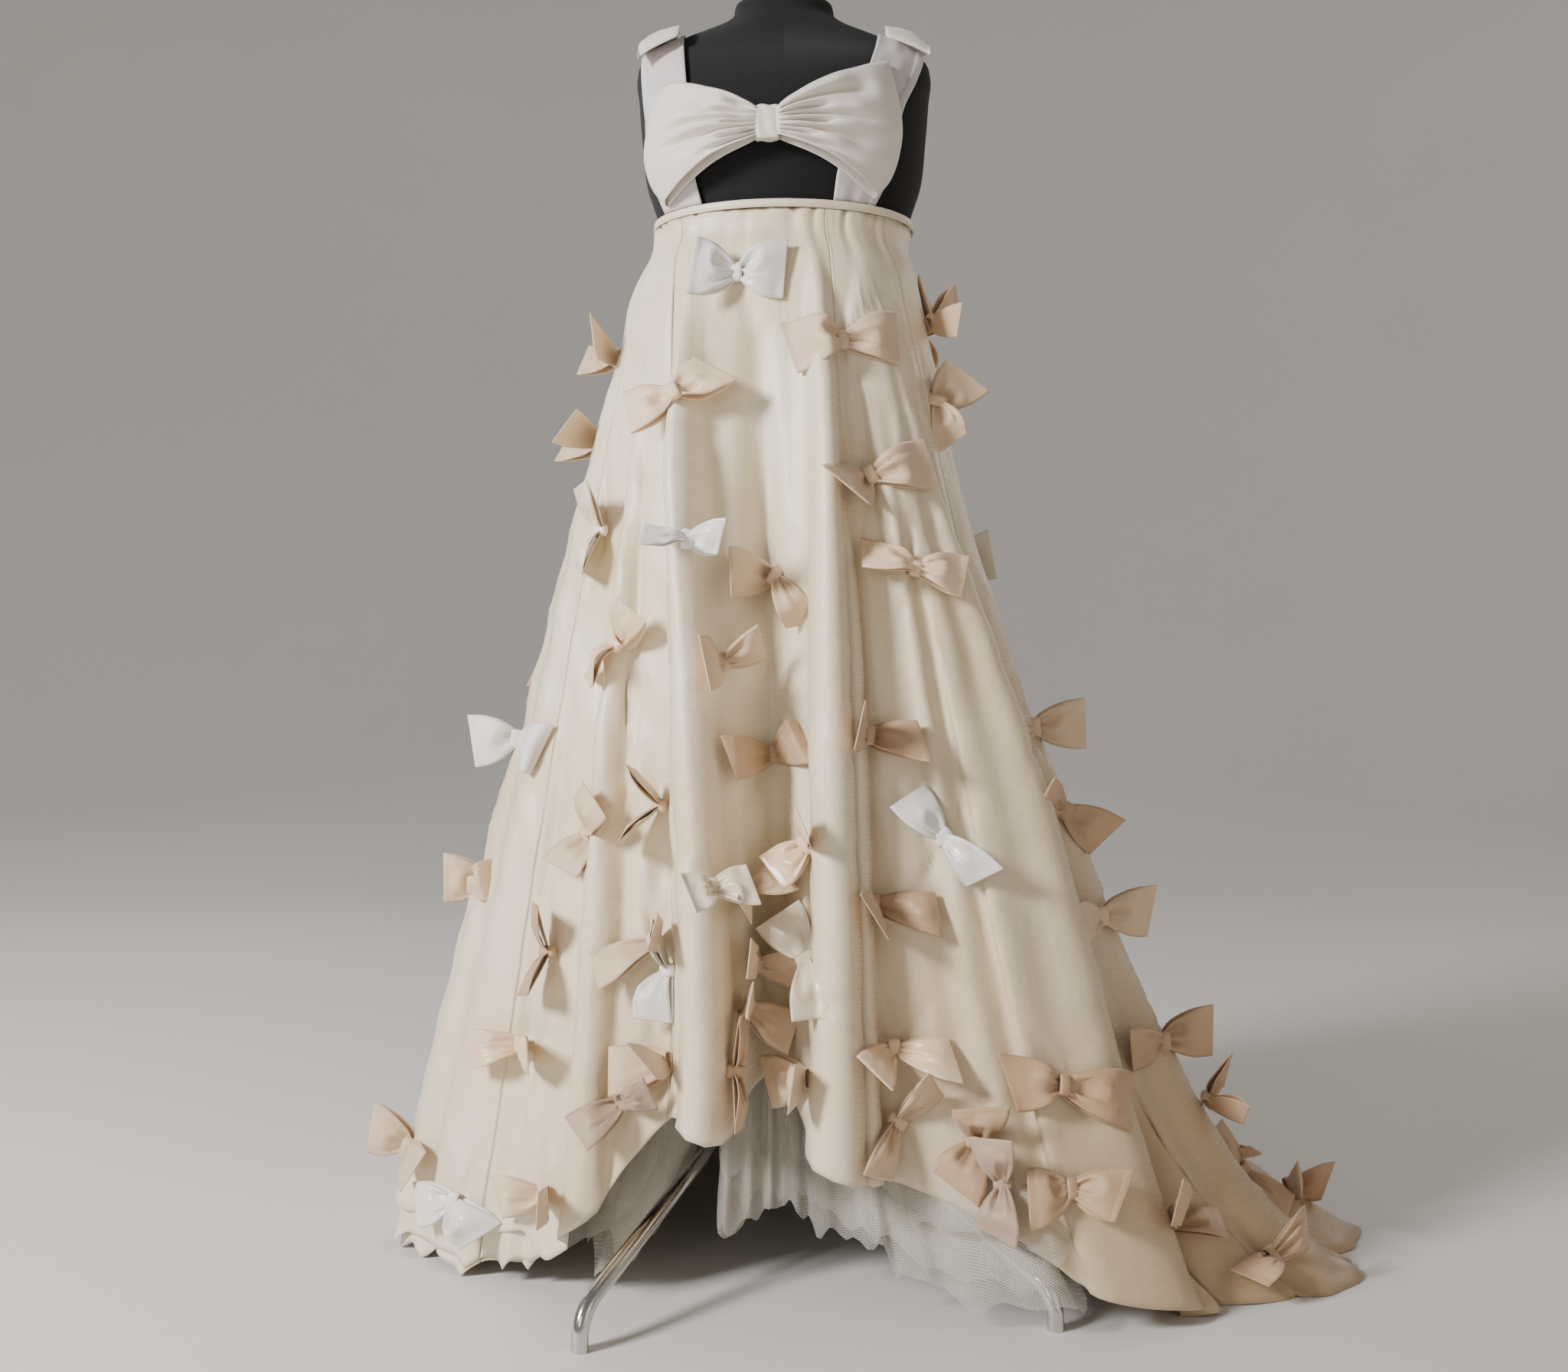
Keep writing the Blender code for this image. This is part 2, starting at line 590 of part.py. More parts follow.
# The bows on the skirt: hem angle of the cloth under the knot, drop, tilt, length, height of the
# wings' ends, shade, and how far the bow turns from the cloth to face the front
BOW_COLUMNS = ("name", "angle", "drop", "tilt", "length", "height", "shade", "fronted")
BOWS = (
    ("01", -7, 0.088, 0, 0.092, 0.062, "white", 0.00),
    ("02", 23, 0.156, 6, 0.118, 0.058, "beige", 0.00),
    ("03", -17, 0.224, 28, 0.108, 0.058, "peach", 0.00),
    ("04", 31, 0.295, 20, 0.105, 0.058, "beige", 0.00),
    ("05", 70, 0.187, 70, 0.100, 0.055, "beige", 0.40),
    ("06", -57, 0.314, 75, 0.090, 0.050, "cream", 0.20),
    ("07", -16, 0.387, 0, 0.080, 0.032, "white", 0.00),
    ("08", -1, 0.443, -38, 0.100, 0.056, "beige", 0.00),
    ("09", 41, 0.373, -12, 0.113, 0.046, "peach", 0.00),
    ("10", -40.5, 0.454, 49, 0.097, 0.040, "peach", 0.00),
    ("11", -12.5, 0.523, 30, 0.085, 0.056, "beige", 0.00),
    ("12", -82, 0.509, -8, 0.088, 0.060, "white", 0.60),
    ("13", -3, 0.645, 14, 0.080, 0.052, "tan", 0.00),
    ("14", 18.5, 0.567, -20, 0.085, 0.054, "tan", 0.00),
    ("15", 66, 0.496, 0, 0.110, 0.055, "beige", 0.60),
    ("16", 37.5, 0.642, -48, 0.116, 0.042, "white", 0.00),
    ("17", 69, 0.574, -35, 0.110, 0.052, "tan", 0.55),
    ("18", -44.5, 0.625, -50, 0.090, 0.052, "beige", 0.00),
    ("19", -29, 0.668, 70, 0.075, 0.030, "beige", 0.00),
    ("20", -16, 0.747, 4, 0.074, 0.044, "cream", 0.00),
    ("21", 6, 0.825, -60, 0.105, 0.050, "cream", 0.80),
    ("22", 22.5, 0.735, 0, 0.095, 0.052, "tan", 0.00),
    ("23", 67, 0.672, 0, 0.110, 0.058, "beige", 0.60),
    ("24", -31, 0.803, 30, 0.090, 0.045, "beige", 0.00),
    ("25", -61, 0.793, 0, 0.094, 0.040, "beige", 0.10),
    ("26", 26, 0.871, 15, 0.090, 0.034, "peach", 0.00),
    ("27", 70, 0.788, 5, 0.110, 0.055, "tan", 0.60),
    ("28", 47.5, 0.822, -15, 0.135, 0.060, "tan", 0.00),
    ("29", 7, 0.935, 0, 0.085, 0.055, "beige", 0.00),
    ("30", 25.5, 0.940, 55, 0.105, 0.035, "beige", 0.00),
    ("31", 36, 0.928, 70, 0.085, 0.055, "tan", 0.00),
    ("32", -68, 0.932, -12, 0.100, 0.045, "white", 0.00),
    ("33", -51, 0.937, 0, 0.085, 0.050, "peach", 0.00),
    ("34", 46.5, 0.912, -3, 0.105, 0.056, "tan", 0.00),
)


def make_bow(row, material, neighbours):
    bow = dict(zip(BOW_COLUMNS, row))
    where = (bow["angle"], bow["drop"], bow["tilt"], bow["fronted"])
    outer, inner = bow_layers(bow["length"], bow["height"])
    obj = wall(
        "bow_" + bow["name"],
        follow_skirt(*where, outer),
        follow_skirt(*where, inner),
        material,
        round_rows=True,
    )
    seat(obj, bow_frame(*where)[1], neighbours)
    return obj


# The small bows over the shoulders: x of the knot, its turn over the shoulder, tilt, length and
# height of the wings' ends
SHOULDER_COLUMNS = ("name", "x", "turn", "tilt", "length", "height")
SHOULDER_BOWS = (
    ("shoulder_bow_short_side", -0.135, 92, -14, 0.094, 0.056),
    ("shoulder_bow_train_side", 0.134, 92, 8, 0.094, 0.060),
)
SHOULDER_ROUNDING = 0.075
SHOULDER_MOST_X = 0.163


def make_shoulder_bow(row, material, neighbours):
    bow = dict(zip(SHOULDER_COLUMNS, row))
    tilt = math.radians(bow["tilt"])
    layers = []
    for local in bow_layers(bow["length"], bow["height"]):
        layer = []
        for along, across, out in local.reshape(-1, 3):
            forward = along * math.cos(tilt) - across * math.sin(tilt)
            x = bow["x"] + across * math.cos(tilt) + along * math.sin(tilt)
            turn = bow["turn"] - math.degrees(forward / SHOULDER_ROUNDING)
            x = max(-SHOULDER_MOST_X, min(SHOULDER_MOST_X, x))
            layer.append(over_shoulder(x, turn, STRAP_CLEARANCE + TAFFETA + out))
        layers.append(np.array(layer).reshape(local.shape))
    obj = wall(bow["name"], layers[0], layers[1], material, round_rows=True)
    seat(obj, (0, 0, 1), neighbours)
    return obj


def make_gore(row, material):
    gore = dict(zip(GORE_COLUMNS, row))
    gap = math.degrees(SEAM_GAP / 2 / TOP_HALF_WIDTH)
    angles = np.linspace(gore["start"] + gap, gore["end"] - gap, gore["columns"] + 1)
    drops = np.concatenate([[0, 0.03], np.linspace(0.075, 1, SKIRT_ROWS - 2) ** 0.92])
    angle, drop = np.meshgrid(angles, drops)
    drop[0] = (BINDING_HEIGHT + SEAM_GAP) / (SKIRT_TOP - hem_value("height", angles))
    outer = skirt_point(angle, drop)
    normal = facing(skirt_point, angle, drop)
    inner = outer - TAFFETA * normal
    inner[..., 2] = np.clip(inner[..., 2], outer[-1:, :, 2], outer[:1, :, 2])
    return wall(gore["name"], outer, inner, material)


def make_binding(material):
    """The narrow band that finishes the skirt's top edge."""
    turns = np.radians(np.arange(0, 360, 360 / BINDING_SIDES))
    rings = []
    for out in (BINDING_PROUD, BINDING_PROUD - BINDING_THICKNESS):
        reach = ring_reach(TOP_HALF_WIDTH + out, TOP_HALF_DEPTH + out, turns)
        ring = np.stack([reach * np.sin(turns), -reach * np.cos(turns), 0 * turns + SKIRT_TOP], -1)
        rings.append(np.stack([ring, ring - (0, 0, BINDING_HEIGHT)]))
    return wall("skirt_binding", rings[0], rings[1], material, round_columns=True)


# The net petticoat: angle, how far its hem reaches and how high it ends
PETTICOAT_COLUMNS = ("angle", "reach", "height")
PETTICOAT = (
    (-150, 0.320, 0.140),
    (-110, 0.320, 0.140),
    (-80, 0.320, 0.120),
    (-62, 0.300, 0.060),
    (-48, 0.275, 0.016),
    (-40, 0.250, 0.012),
    (-34, 0.190, 0.120),
    (-29, 0.150, 0.180),
    (-24, 0.170, 0.130),
    (-18, 0.210, 0.040),
    (-10, 0.195, 0.050),
    (0, 0.170, 0.070),
    (10, 0.190, 0.060),
    (20, 0.235, 0.060),
    (30, 0.300, 0.035),
    (37, 0.340, 0.060),
    (42, 0.360, 0.098),
    (47, 0.365, 0.055),
    (54, 0.365, 0.030),
    (64, 0.340, 0.100),
    (80, 0.330, 0.140),
    (120, 0.330, 0.140),
    (165, 0.320, 0.140),
)
PETTICOAT_TOP = 1.100
PETTICOAT_WAIST = 0.100
PETTICOAT_SWEEP = 3.0
PETTICOAT_WAVES = 18
PETTICOAT_WAVE = 0.007
PETTICOAT_ROWS = 8
PETTICOAT_CLEARANCE = 0.0010


def petticoat_point(angle, drop):
    """Point of the net's outer face: angle in degrees, drop from 0 at its waist to 1 at its hem."""
    angle, drop = np.broadcast_arrays(np.asarray(angle, float), np.asarray(drop, float))
    rows = columns_of(PETTICOAT, PETTICOAT_COLUMNS)
    turn = np.radians(angle)
    hem = smooth_curve(rows["angle"], rows["height"], angle, 360)
    height = PETTICOAT_TOP - drop * (PETTICOAT_TOP - hem)
    near = np.maximum(height, 0.860)
    front = np.cos(turn) > 0
    depth = np.where(front, form_value("front", near), form_value("back", near))
    room = PETTICOAT_CLEARANCE + NET + 0.003 * smooth_step(0.0, 0.1, drop)
    base = ring_reach(form_value("half_width", near) + room, depth + room, turn)
    reach = smooth_curve(rows["angle"], rows["reach"], angle, 360)
    wave = PETTICOAT_WAVE * np.cos(turn * PETTICOAT_WAVES) * smooth_step(0.3, 1, drop)
    reach = base + (reach - base) * drop**PETTICOAT_SWEEP + wave
    return np.stack([reach * np.sin(turn), -reach * np.cos(turn), height], -1)


def make_petticoat(name, start, end, material):
    gap = math.degrees(SEAM_GAP / 2 / PETTICOAT_WAIST)
    step = 360 / PETTICOAT_WAVES / 4
    angles = np.linspace(start + gap, end - gap, round((end - start) / step) + 1)
    drops = np.linspace(0, 1, PETTICOAT_ROWS) ** 0.9
    angle, drop = np.meshgrid(angles, drops)
    outer = petticoat_point(angle, drop)
    inner = outer - NET * facing(petticoat_point, angle, drop)
    return wall(name, outer, inner, material)


# The stand: a pole under the form, a hub with five sockets and five tubes with turned-down feet
FIRST_LEG = -29.5
LEGS = 5
FOOT_REACH = 0.393
LEG_RADIUS = 0.0085
LEG_SLOPE = 0.4355
LEG_ROOT_HEIGHT = 0.207
SOCKET_RADIUS = 0.0112
SOCKET_START = 0.0175
SOCKET_END = 0.128
BEND_RADIUS = 0.040
HUB_RADIUS = 0.024
HUB_LOW = 0.160
HUB_HIGH = 0.232
POLE_RADIUS = 0.0125


def make_tube(name, points, radius, material):
    """A round tube along points, with flat ends."""
    line = bpy.data.curves.new(name, "CURVE")
    line.dimensions = "3D"
    line.bevel_depth = radius
    line.bevel_resolution = 2
    line.use_fill_caps = True
    spline = line.splines.new("POLY")
    spline.points.add(len(points) - 1)
    for target, point in zip(spline.points, points):
        target.co = (*point, 1)
    line.materials.append(material)
    obj = bpy.data.objects.new(name, line)
    bpy.data.collections["wedding_dress"].objects.link(obj)
    return obj


def leg_line():
    """Reach and height of a leg's middle line, from its socket round the bend to the floor."""
    slope = math.atan(LEG_SLOPE)
    turned = math.pi / 2 - slope
    bend_centre = np.array([FOOT_REACH - BEND_RADIUS, 0.0])
    start = bend_centre[0] + BEND_RADIUS * math.sin(slope)
    rise = LEG_ROOT_HEIGHT - LEG_SLOPE * start - BEND_RADIUS * math.cos(slope)
    points = [(SOCKET_END + SEAM_GAP, LEG_ROOT_HEIGHT - LEG_SLOPE * (SOCKET_END + SEAM_GAP))]
    for part in np.linspace(0, 1, 5):
        angle = slope + part * turned
        reach = bend_centre[0] + BEND_RADIUS * math.sin(angle)
        points.append((reach, rise + BEND_RADIUS * math.cos(angle)))
    points.append((FOOT_REACH, 0.0))
    return points


def make_hub(material):
    """The sleeve on the pole with its sockets, each with a clamping screw under it."""
    pieces = [cylinder((0, 0, HUB_LOW), (0, 0, HUB_HIGH), HUB_RADIUS, 20)]
    for number in range(LEGS):
        turn = math.radians(FIRST_LEG + number * 360 / LEGS)
        out = Vector((math.sin(turn), -math.cos(turn), 0))
        ends = [
            out * reach + Vector((0, 0, LEG_ROOT_HEIGHT - LEG_SLOPE * reach))
            for reach in (SOCKET_START, SOCKET_END)
        ]
        pieces.append(cylinder(ends[0], ends[1], SOCKET_RADIUS, 12))
        under = ends[0].lerp(ends[1], 0.62)
        down = (ends[1] - ends[0]).normalized().cross(out.cross(Vector((0, 0, 1))))
        down = down if down.z < 0 else -down
        pieces.append(cylinder(under, under + down * 0.021, 0.0040, 8))
        pieces.append(cylinder(under + down * 0.017, under + down * 0.024, 0.0070, 10))
    hub = place("stand_hub", pieces[0], material)
    for mesh in pieces[1:]:
        tool = bpy.data.objects.new("hub_piece", mesh)
        bpy.data.collections["dress_cutters"].objects.link(tool)
        tool.parent = hub
        tool.hide_render = True
        tool.display_type = "WIRE"
        join = hub.modifiers.new("join", "BOOLEAN")
        join.operation = "UNION"
        join.object = tool
    return hub


def cylinder(start, end, radius, sides):
    """A mesh of a round bar between two points."""
    start, end = Vector(start), Vector(end)
    shape = bmesh.new()
    bmesh.ops.create_cone(
        shape,
        cap_ends=True,
        segments=sides,
        radius1=radius,
        radius2=radius,
        depth=(end - start).length,
    )
    turn = (end - start).to_track_quat("Z", "Y").to_matrix().to_4x4()
    shape.transform(Matrix.Translation((start + end) / 2) @ turn)
    mesh = bpy.data.meshes.new("bar")
    shape.to_mesh(mesh)
    shape.free()
    return mesh


def make_stand(steel, socket):
    legs = []
    for number in range(LEGS):
        turn = math.radians(FIRST_LEG + number * 360 / LEGS)
        points = [
            (reach * math.sin(turn), -reach * math.cos(turn), height)
            for reach, height in leg_line()
        ]
        legs.append(make_tube(f"stand_leg_{number + 1}", points, LEG_RADIUS, steel))
    pole = [(0, 0, HUB_HIGH + SEAM_GAP), (0, 0, FORM[0][0] - SEAM_GAP)]
    return [make_hub(socket), make_tube("stand_pole", pole, POLE_RADIUS, steel), *legs]


def clear_scene():
    for obj in list(bpy.data.objects):
        bpy.data.objects.remove(obj)
    for name in ("wedding_dress", "dress_cutters"):
        collection = bpy.data.collections.new(name)
        bpy.context.scene.collection.children.link(collection)
    bpy.data.collections["dress_cutters"].hide_render = True


def centre_on_floor(pieces):
    """Hangs every piece from an empty that sets the middle of the footprint at the origin."""
    bpy.context.view_layer.update()
    graph = bpy.context.evaluated_depsgraph_get()
    corners = []
    for piece in pieces:
        evaluated = piece.evaluated_get(graph)
        corners += [piece.matrix_world @ vertex.co for vertex in evaluated.to_mesh().vertices]
        evaluated.to_mesh_clear()
    low = [min(corner[axis] for corner in corners) for axis in range(3)]
    high = [max(corner[axis] for corner in corners) for axis in range(3)]
    axis = bpy.data.objects.new("stand_axis", None)
    bpy.context.scene.collection.objects.link(axis)
    axis.location = (-(low[0] + high[0]) / 2, -(low[1] + high[1]) / 2, -low[2])
    for piece in pieces:
        piece.parent = axis


def main():
    clear_scene()
    taffeta = finish("ivory_taffeta", (0.74, 0.68, 0.54), 0.42)
    white = finish("off_white_silk", (0.78, 0.74, 0.68), 0.45)
    strap_silk = finish("pale_strap_silk", (0.64, 0.60, 0.60), 0.5)
    net = finish("ivory_net", (0.45, 0.42, 0.37), 0.8)
    jersey = finish("black_jersey", (0.012, 0.012, 0.014), 0.9)
    steel = finish("polished_steel", (0.55, 0.54, 0.53), 0.18, 1.0)
    socket = finish("dark_socket_metal", (0.06, 0.055, 0.05), 0.35, 1.0)
    shades = {
        "white": finish("white_satin", (0.80, 0.79, 0.76), 0.35),
        "cream": finish("cream_satin", (0.78, 0.70, 0.56), 0.35),
        "peach": finish("peach_satin", (0.78, 0.62, 0.45), 0.32),
        "beige": finish("beige_taffeta", (0.62, 0.48, 0.36), 0.45),
        "tan": finish("tan_taffeta", (0.48, 0.36, 0.27), 0.45),
    }
    form = make_form(jersey)
    stand = make_stand(steel, socket)
    gores = [make_gore(row, taffeta) for row in GORES]
    binding = make_binding(taffeta)
    petticoat = [
        make_petticoat("petticoat_front", -90, 90, net),
        make_petticoat("petticoat_back", 90, 270, net),
    ]
    straps = [make_strap(name, strap_silk) for name in STRAPS]
    wings = [make_wing(name, white) for name in WINGS]
    for wing in wings:
        seat(wing, (0, -1, 0), [form, *straps])
    knot = make_bust_knot(white)
    shoulder = [make_shoulder_bow(row, white, [form, *straps]) for row in SHOULDER_BOWS]
    pieces = [form, *stand, *gores, binding, *petticoat, *straps, *wings, knot, *shoulder]
    on_skirt = list(gores)
    for row in BOWS:
        on_skirt.append(make_bow(row, shades[row[6]], on_skirt))
    centre_on_floor(pieces + on_skirt[len(gores):])


main()
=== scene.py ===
"""Looks of a wedding dress on a dress form: silk taffeta skirt with a train, bows, net and stand."""

import json
import math

import bmesh
import bpy
import numpy as np
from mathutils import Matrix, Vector
from mathutils.bvhtree import BVHTree

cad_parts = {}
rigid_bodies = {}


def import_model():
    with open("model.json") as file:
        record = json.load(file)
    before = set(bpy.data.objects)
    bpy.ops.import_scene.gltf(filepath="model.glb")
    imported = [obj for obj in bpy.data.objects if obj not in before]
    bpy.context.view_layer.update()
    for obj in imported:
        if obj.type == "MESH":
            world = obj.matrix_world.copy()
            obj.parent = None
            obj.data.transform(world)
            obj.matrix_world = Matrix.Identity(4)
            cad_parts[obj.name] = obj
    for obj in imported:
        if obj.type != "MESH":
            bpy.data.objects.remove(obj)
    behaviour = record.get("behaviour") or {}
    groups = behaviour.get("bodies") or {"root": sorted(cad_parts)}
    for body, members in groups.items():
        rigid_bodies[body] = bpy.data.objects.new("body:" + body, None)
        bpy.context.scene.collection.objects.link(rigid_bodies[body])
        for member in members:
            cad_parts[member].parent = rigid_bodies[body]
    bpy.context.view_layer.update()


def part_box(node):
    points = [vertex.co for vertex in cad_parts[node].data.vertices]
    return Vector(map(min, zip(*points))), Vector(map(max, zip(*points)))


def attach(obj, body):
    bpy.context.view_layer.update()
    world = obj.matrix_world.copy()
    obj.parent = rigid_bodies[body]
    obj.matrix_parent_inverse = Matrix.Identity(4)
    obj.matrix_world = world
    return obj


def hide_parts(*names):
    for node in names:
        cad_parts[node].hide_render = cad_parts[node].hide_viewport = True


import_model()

bl_info = {
    "name": "Wedding dress on a dress form",
    "version": (1, 0, 0),
    "blender": (4, 5, 0),
    "location": "3D View > Sidebar > Dress",
    "description": "Makes the cloth, bows, net, form and stand of a wedding dress",
    "category": "Add Mesh",
}

POLE_LOW, POLE_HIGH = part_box("stand_pole")
AXIS = np.array([(POLE_LOW.x + POLE_HIGH.x) / 2, (POLE_LOW.y + POLE_HIGH.y) / 2, 0.0])

# The camera stands level in front of the stand's pole, and the image is 2048 by 1792 pixels
IMAGE_WIDTH = 2048
FOCAL_PIXELS = 2150
CAMERA_DISTANCE = 1.9
CAMERA_HEIGHT = 0.63
SENSOR = 36.0

# The studio: a flat floor that turns up into a round wall, and lamps round the stand by their place,
# size, power and tint, all aimed at one height
FLOOR_RADIUS = 3.2
COVE_RADIUS = 3.6
WALL_HEIGHT = 7.0
LAMPS_AIM = 0.75
LAMPS = (
    ("key", (-2.7, -2.0, 2.1), 0.8, 200, (0.98, 0.985, 1.0)),
    ("fill", (2.6, -2.4, 1.2), 2.0, 10, (1.0, 0.78, 0.58)),
    ("soft_left", (-1.2, -3.6, 1.6), 1.2, 11, (1.0, 0.99, 0.97)),
    ("back_left", (-2.2, 2.4, 2.4), 1.8, 26, (1.0, 1.0, 1.0)),
    ("back_right", (2.4, 2.2, 2.2), 1.8, 14, (1.0, 0.93, 0.86)),
)
AIR_STRENGTH = 0.22

# The skirt from its bound top edge to the hem
SKIRT_TOP = 1.160
TOP_HALF_WIDTH = 0.149
TOP_HALF_DEPTH = 0.112
TOP_NIP = 0.008
NIP_DROP = 0.028
FLARE_POWER = 0.91
SWEPT_FLARE = 0.9
SWEEP_POWER = 10
DRIFT_POWER = 1.7
BINDING_HEIGHT = 0.009
SEAM_GAP = 0.0003
LOWEST = 0.0009

# Where the hem turns: its angle from the front, the angle of the same line of cloth at the top edge,
# reach from the pole, height, and how much of the flare is left to the last stretch
HEM_COLUMNS = ("angle", "top_angle", "reach", "height", "sweep")
HEM = (
    (-150, -152, 0.480, 0.001, 0.19),
    (-122, -126, 0.462, 0.001, 0.09),
    (-97, -104, 0.452, 0.001, 0.02),
    (-80, -91, 0.430, 0.001, 0.00),
    (-66, -83, 0.385, 0.003, 0.00),
    (-52, -78, 0.330, 0.030, 0.00),
    (-43, -73, 0.303, 0.070, 0.00),
    (-34, -66, 0.285, 0.150, 0.00),
    (-22, -55, 0.262, 0.200, 0.00),
    (-14, -46, 0.258, 0.182, 0.00),
    (-10, -34, 0.225, 0.212, 0.00),
    (-4, -18, 0.205, 0.224, 0.00),
    (3, 3, 0.215, 0.218, 0.00),
    (7, 11, 0.250, 0.172, 0.00),
    (12, 17, 0.265, 0.146, 0.00),
    (24, 26, 0.285, 0.132, 0.00),
    (34, 31, 0.330, 0.108, 0.02),
    (39, 34, 0.372, 0.085, 0.05),
    (43, 37, 0.410, 0.056, 0.08),
    (48, 41, 0.428, 0.028, 0.11),
    (55, 47, 0.460, 0.003, 0.15),
    (63, 56, 0.530, 0.001, 0.23),
    (72, 66, 0.585, 0.001, 0.30),
    (82, 77, 0.635, 0.001, 0.39),
    (93, 89, 0.645, 0.001, 0.45),
    (104, 101, 0.640, 0.001, 0.51),
    (116, 114, 0.605, 0.001, 0.51),
    (135, 134, 0.560, 0.001, 0.43),
    (155, 155, 0.535, 0.001, 0.32),
    (180, 180, 0.510, 0.001, 0.24),
)

# Large folds: hem angle of the fold's line, where it starts and is full, half width at the top and
# at the hem, how far it stands out, how upright its walls are, how far it leans to the train
FOLD_COLUMNS = ("angle", "start", "full", "top_width", "hem_width", "depth", "square", "lean")
FOLDS = (
    (-17.6, 0.02, 0.34, 0.014, 0.0235, 0.050, 0.60, 0.14),
    (-22.6, 0.10, 0.55, 0.007, 0.012, 0.020, 0.50, 0.10),
    (-3.6, 0.04, 0.55, 0.022, 0.040, -0.036, 0.00, 0.00),
    (12.0, 0.00, 0.34, 0.012, 0.0225, 0.048, 0.60, -0.12),
    (17.4, 0.08, 0.55, 0.007, 0.013, 0.022, 0.50, 0.25),
    (-42.0, 0.10, 0.60, 0.010, 0.019, 0.030, 0.54, -0.10),
    (-31.0, 0.30, 0.90, 0.020, 0.040, -0.014, 0.00, 0.00),
    (25.0, 0.25, 0.90, 0.020, 0.042, -0.018, 0.00, 0.00),
    (51.0, 0.06, 0.70, 0.022, 0.046, 0.054, 0.48, 0.80),
    (63.5, 0.20, 0.85, 0.020, 0.036, -0.042, 0.00, -0.30),
    (73.0, 0.24, 0.85, 0.022, 0.044, 0.040, 0.46, 0.75),
    (82.0, 0.50, 0.95, 0.020, 0.036, -0.032, 0.00, -0.30),
    (90.0, 0.60, 1.00, 0.024, 0.050, 0.026, 0.05, 0.50),
    (-62.0, 0.45, 1.00, 0.022, 0.046, -0.012, 0.00, 0.00),
    (-84.0, 0.35, 1.00, 0.030, 0.052, 0.014, 0.00, 0.00),
    (-112.0, 0.30, 1.00, 0.028, 0.056, -0.020, 0.00, 0.00),
    (-136.0, 0.20, 0.95, 0.028, 0.052, 0.030, 0.06, -0.30),
    (-160.0, 0.25, 0.95, 0.026, 0.056, -0.024, 0.00, 0.00),
    (176.0, 0.15, 0.95, 0.026, 0.050, 0.032, 0.08, 0.10),
    (158.0, 0.25, 0.95, 0.026, 0.054, -0.026, 0.00, 0.00),
    (138.0, 0.20, 0.95, 0.026, 0.054, 0.032, 0.06, 0.30),
    (118.0, 0.35, 1.00, 0.028, 0.056, -0.020, 0.00, 0.00),
)

# The eight gores by the hem angles of their seams
GORES = (
    ("skirt_centre_front", -27.0, 20.0),
    ("skirt_side_front_train", 20.0, 64.0),
    ("skirt_side_train", 64.0, 106.0),
    ("skirt_side_back_train", 106.0, 148.0),
    ("skirt_centre_back", 148.0, 208.0),
    ("skirt_side_back_short", 208.0, 252.0),
    ("skirt_side_short", 252.0, 296.0),
    ("skirt_side_front_short", 296.0, 333.0),
)

# Where the hem is turned up on the short side: part of the drop that the outer layer leaves off,
# the layers' first and last angle, then for each layer its seed, its inset, the part of the drop
# where it starts, and how much shorter it is cut
HEM_LIFT = 0.040
LAYERS_START = 268.0
LAYERS_END = 311.0
HEM_LAYERS = (
    (71, 0.007, 0.90, 0.006),
    (72, 0.016, 0.92, 0.000),
)

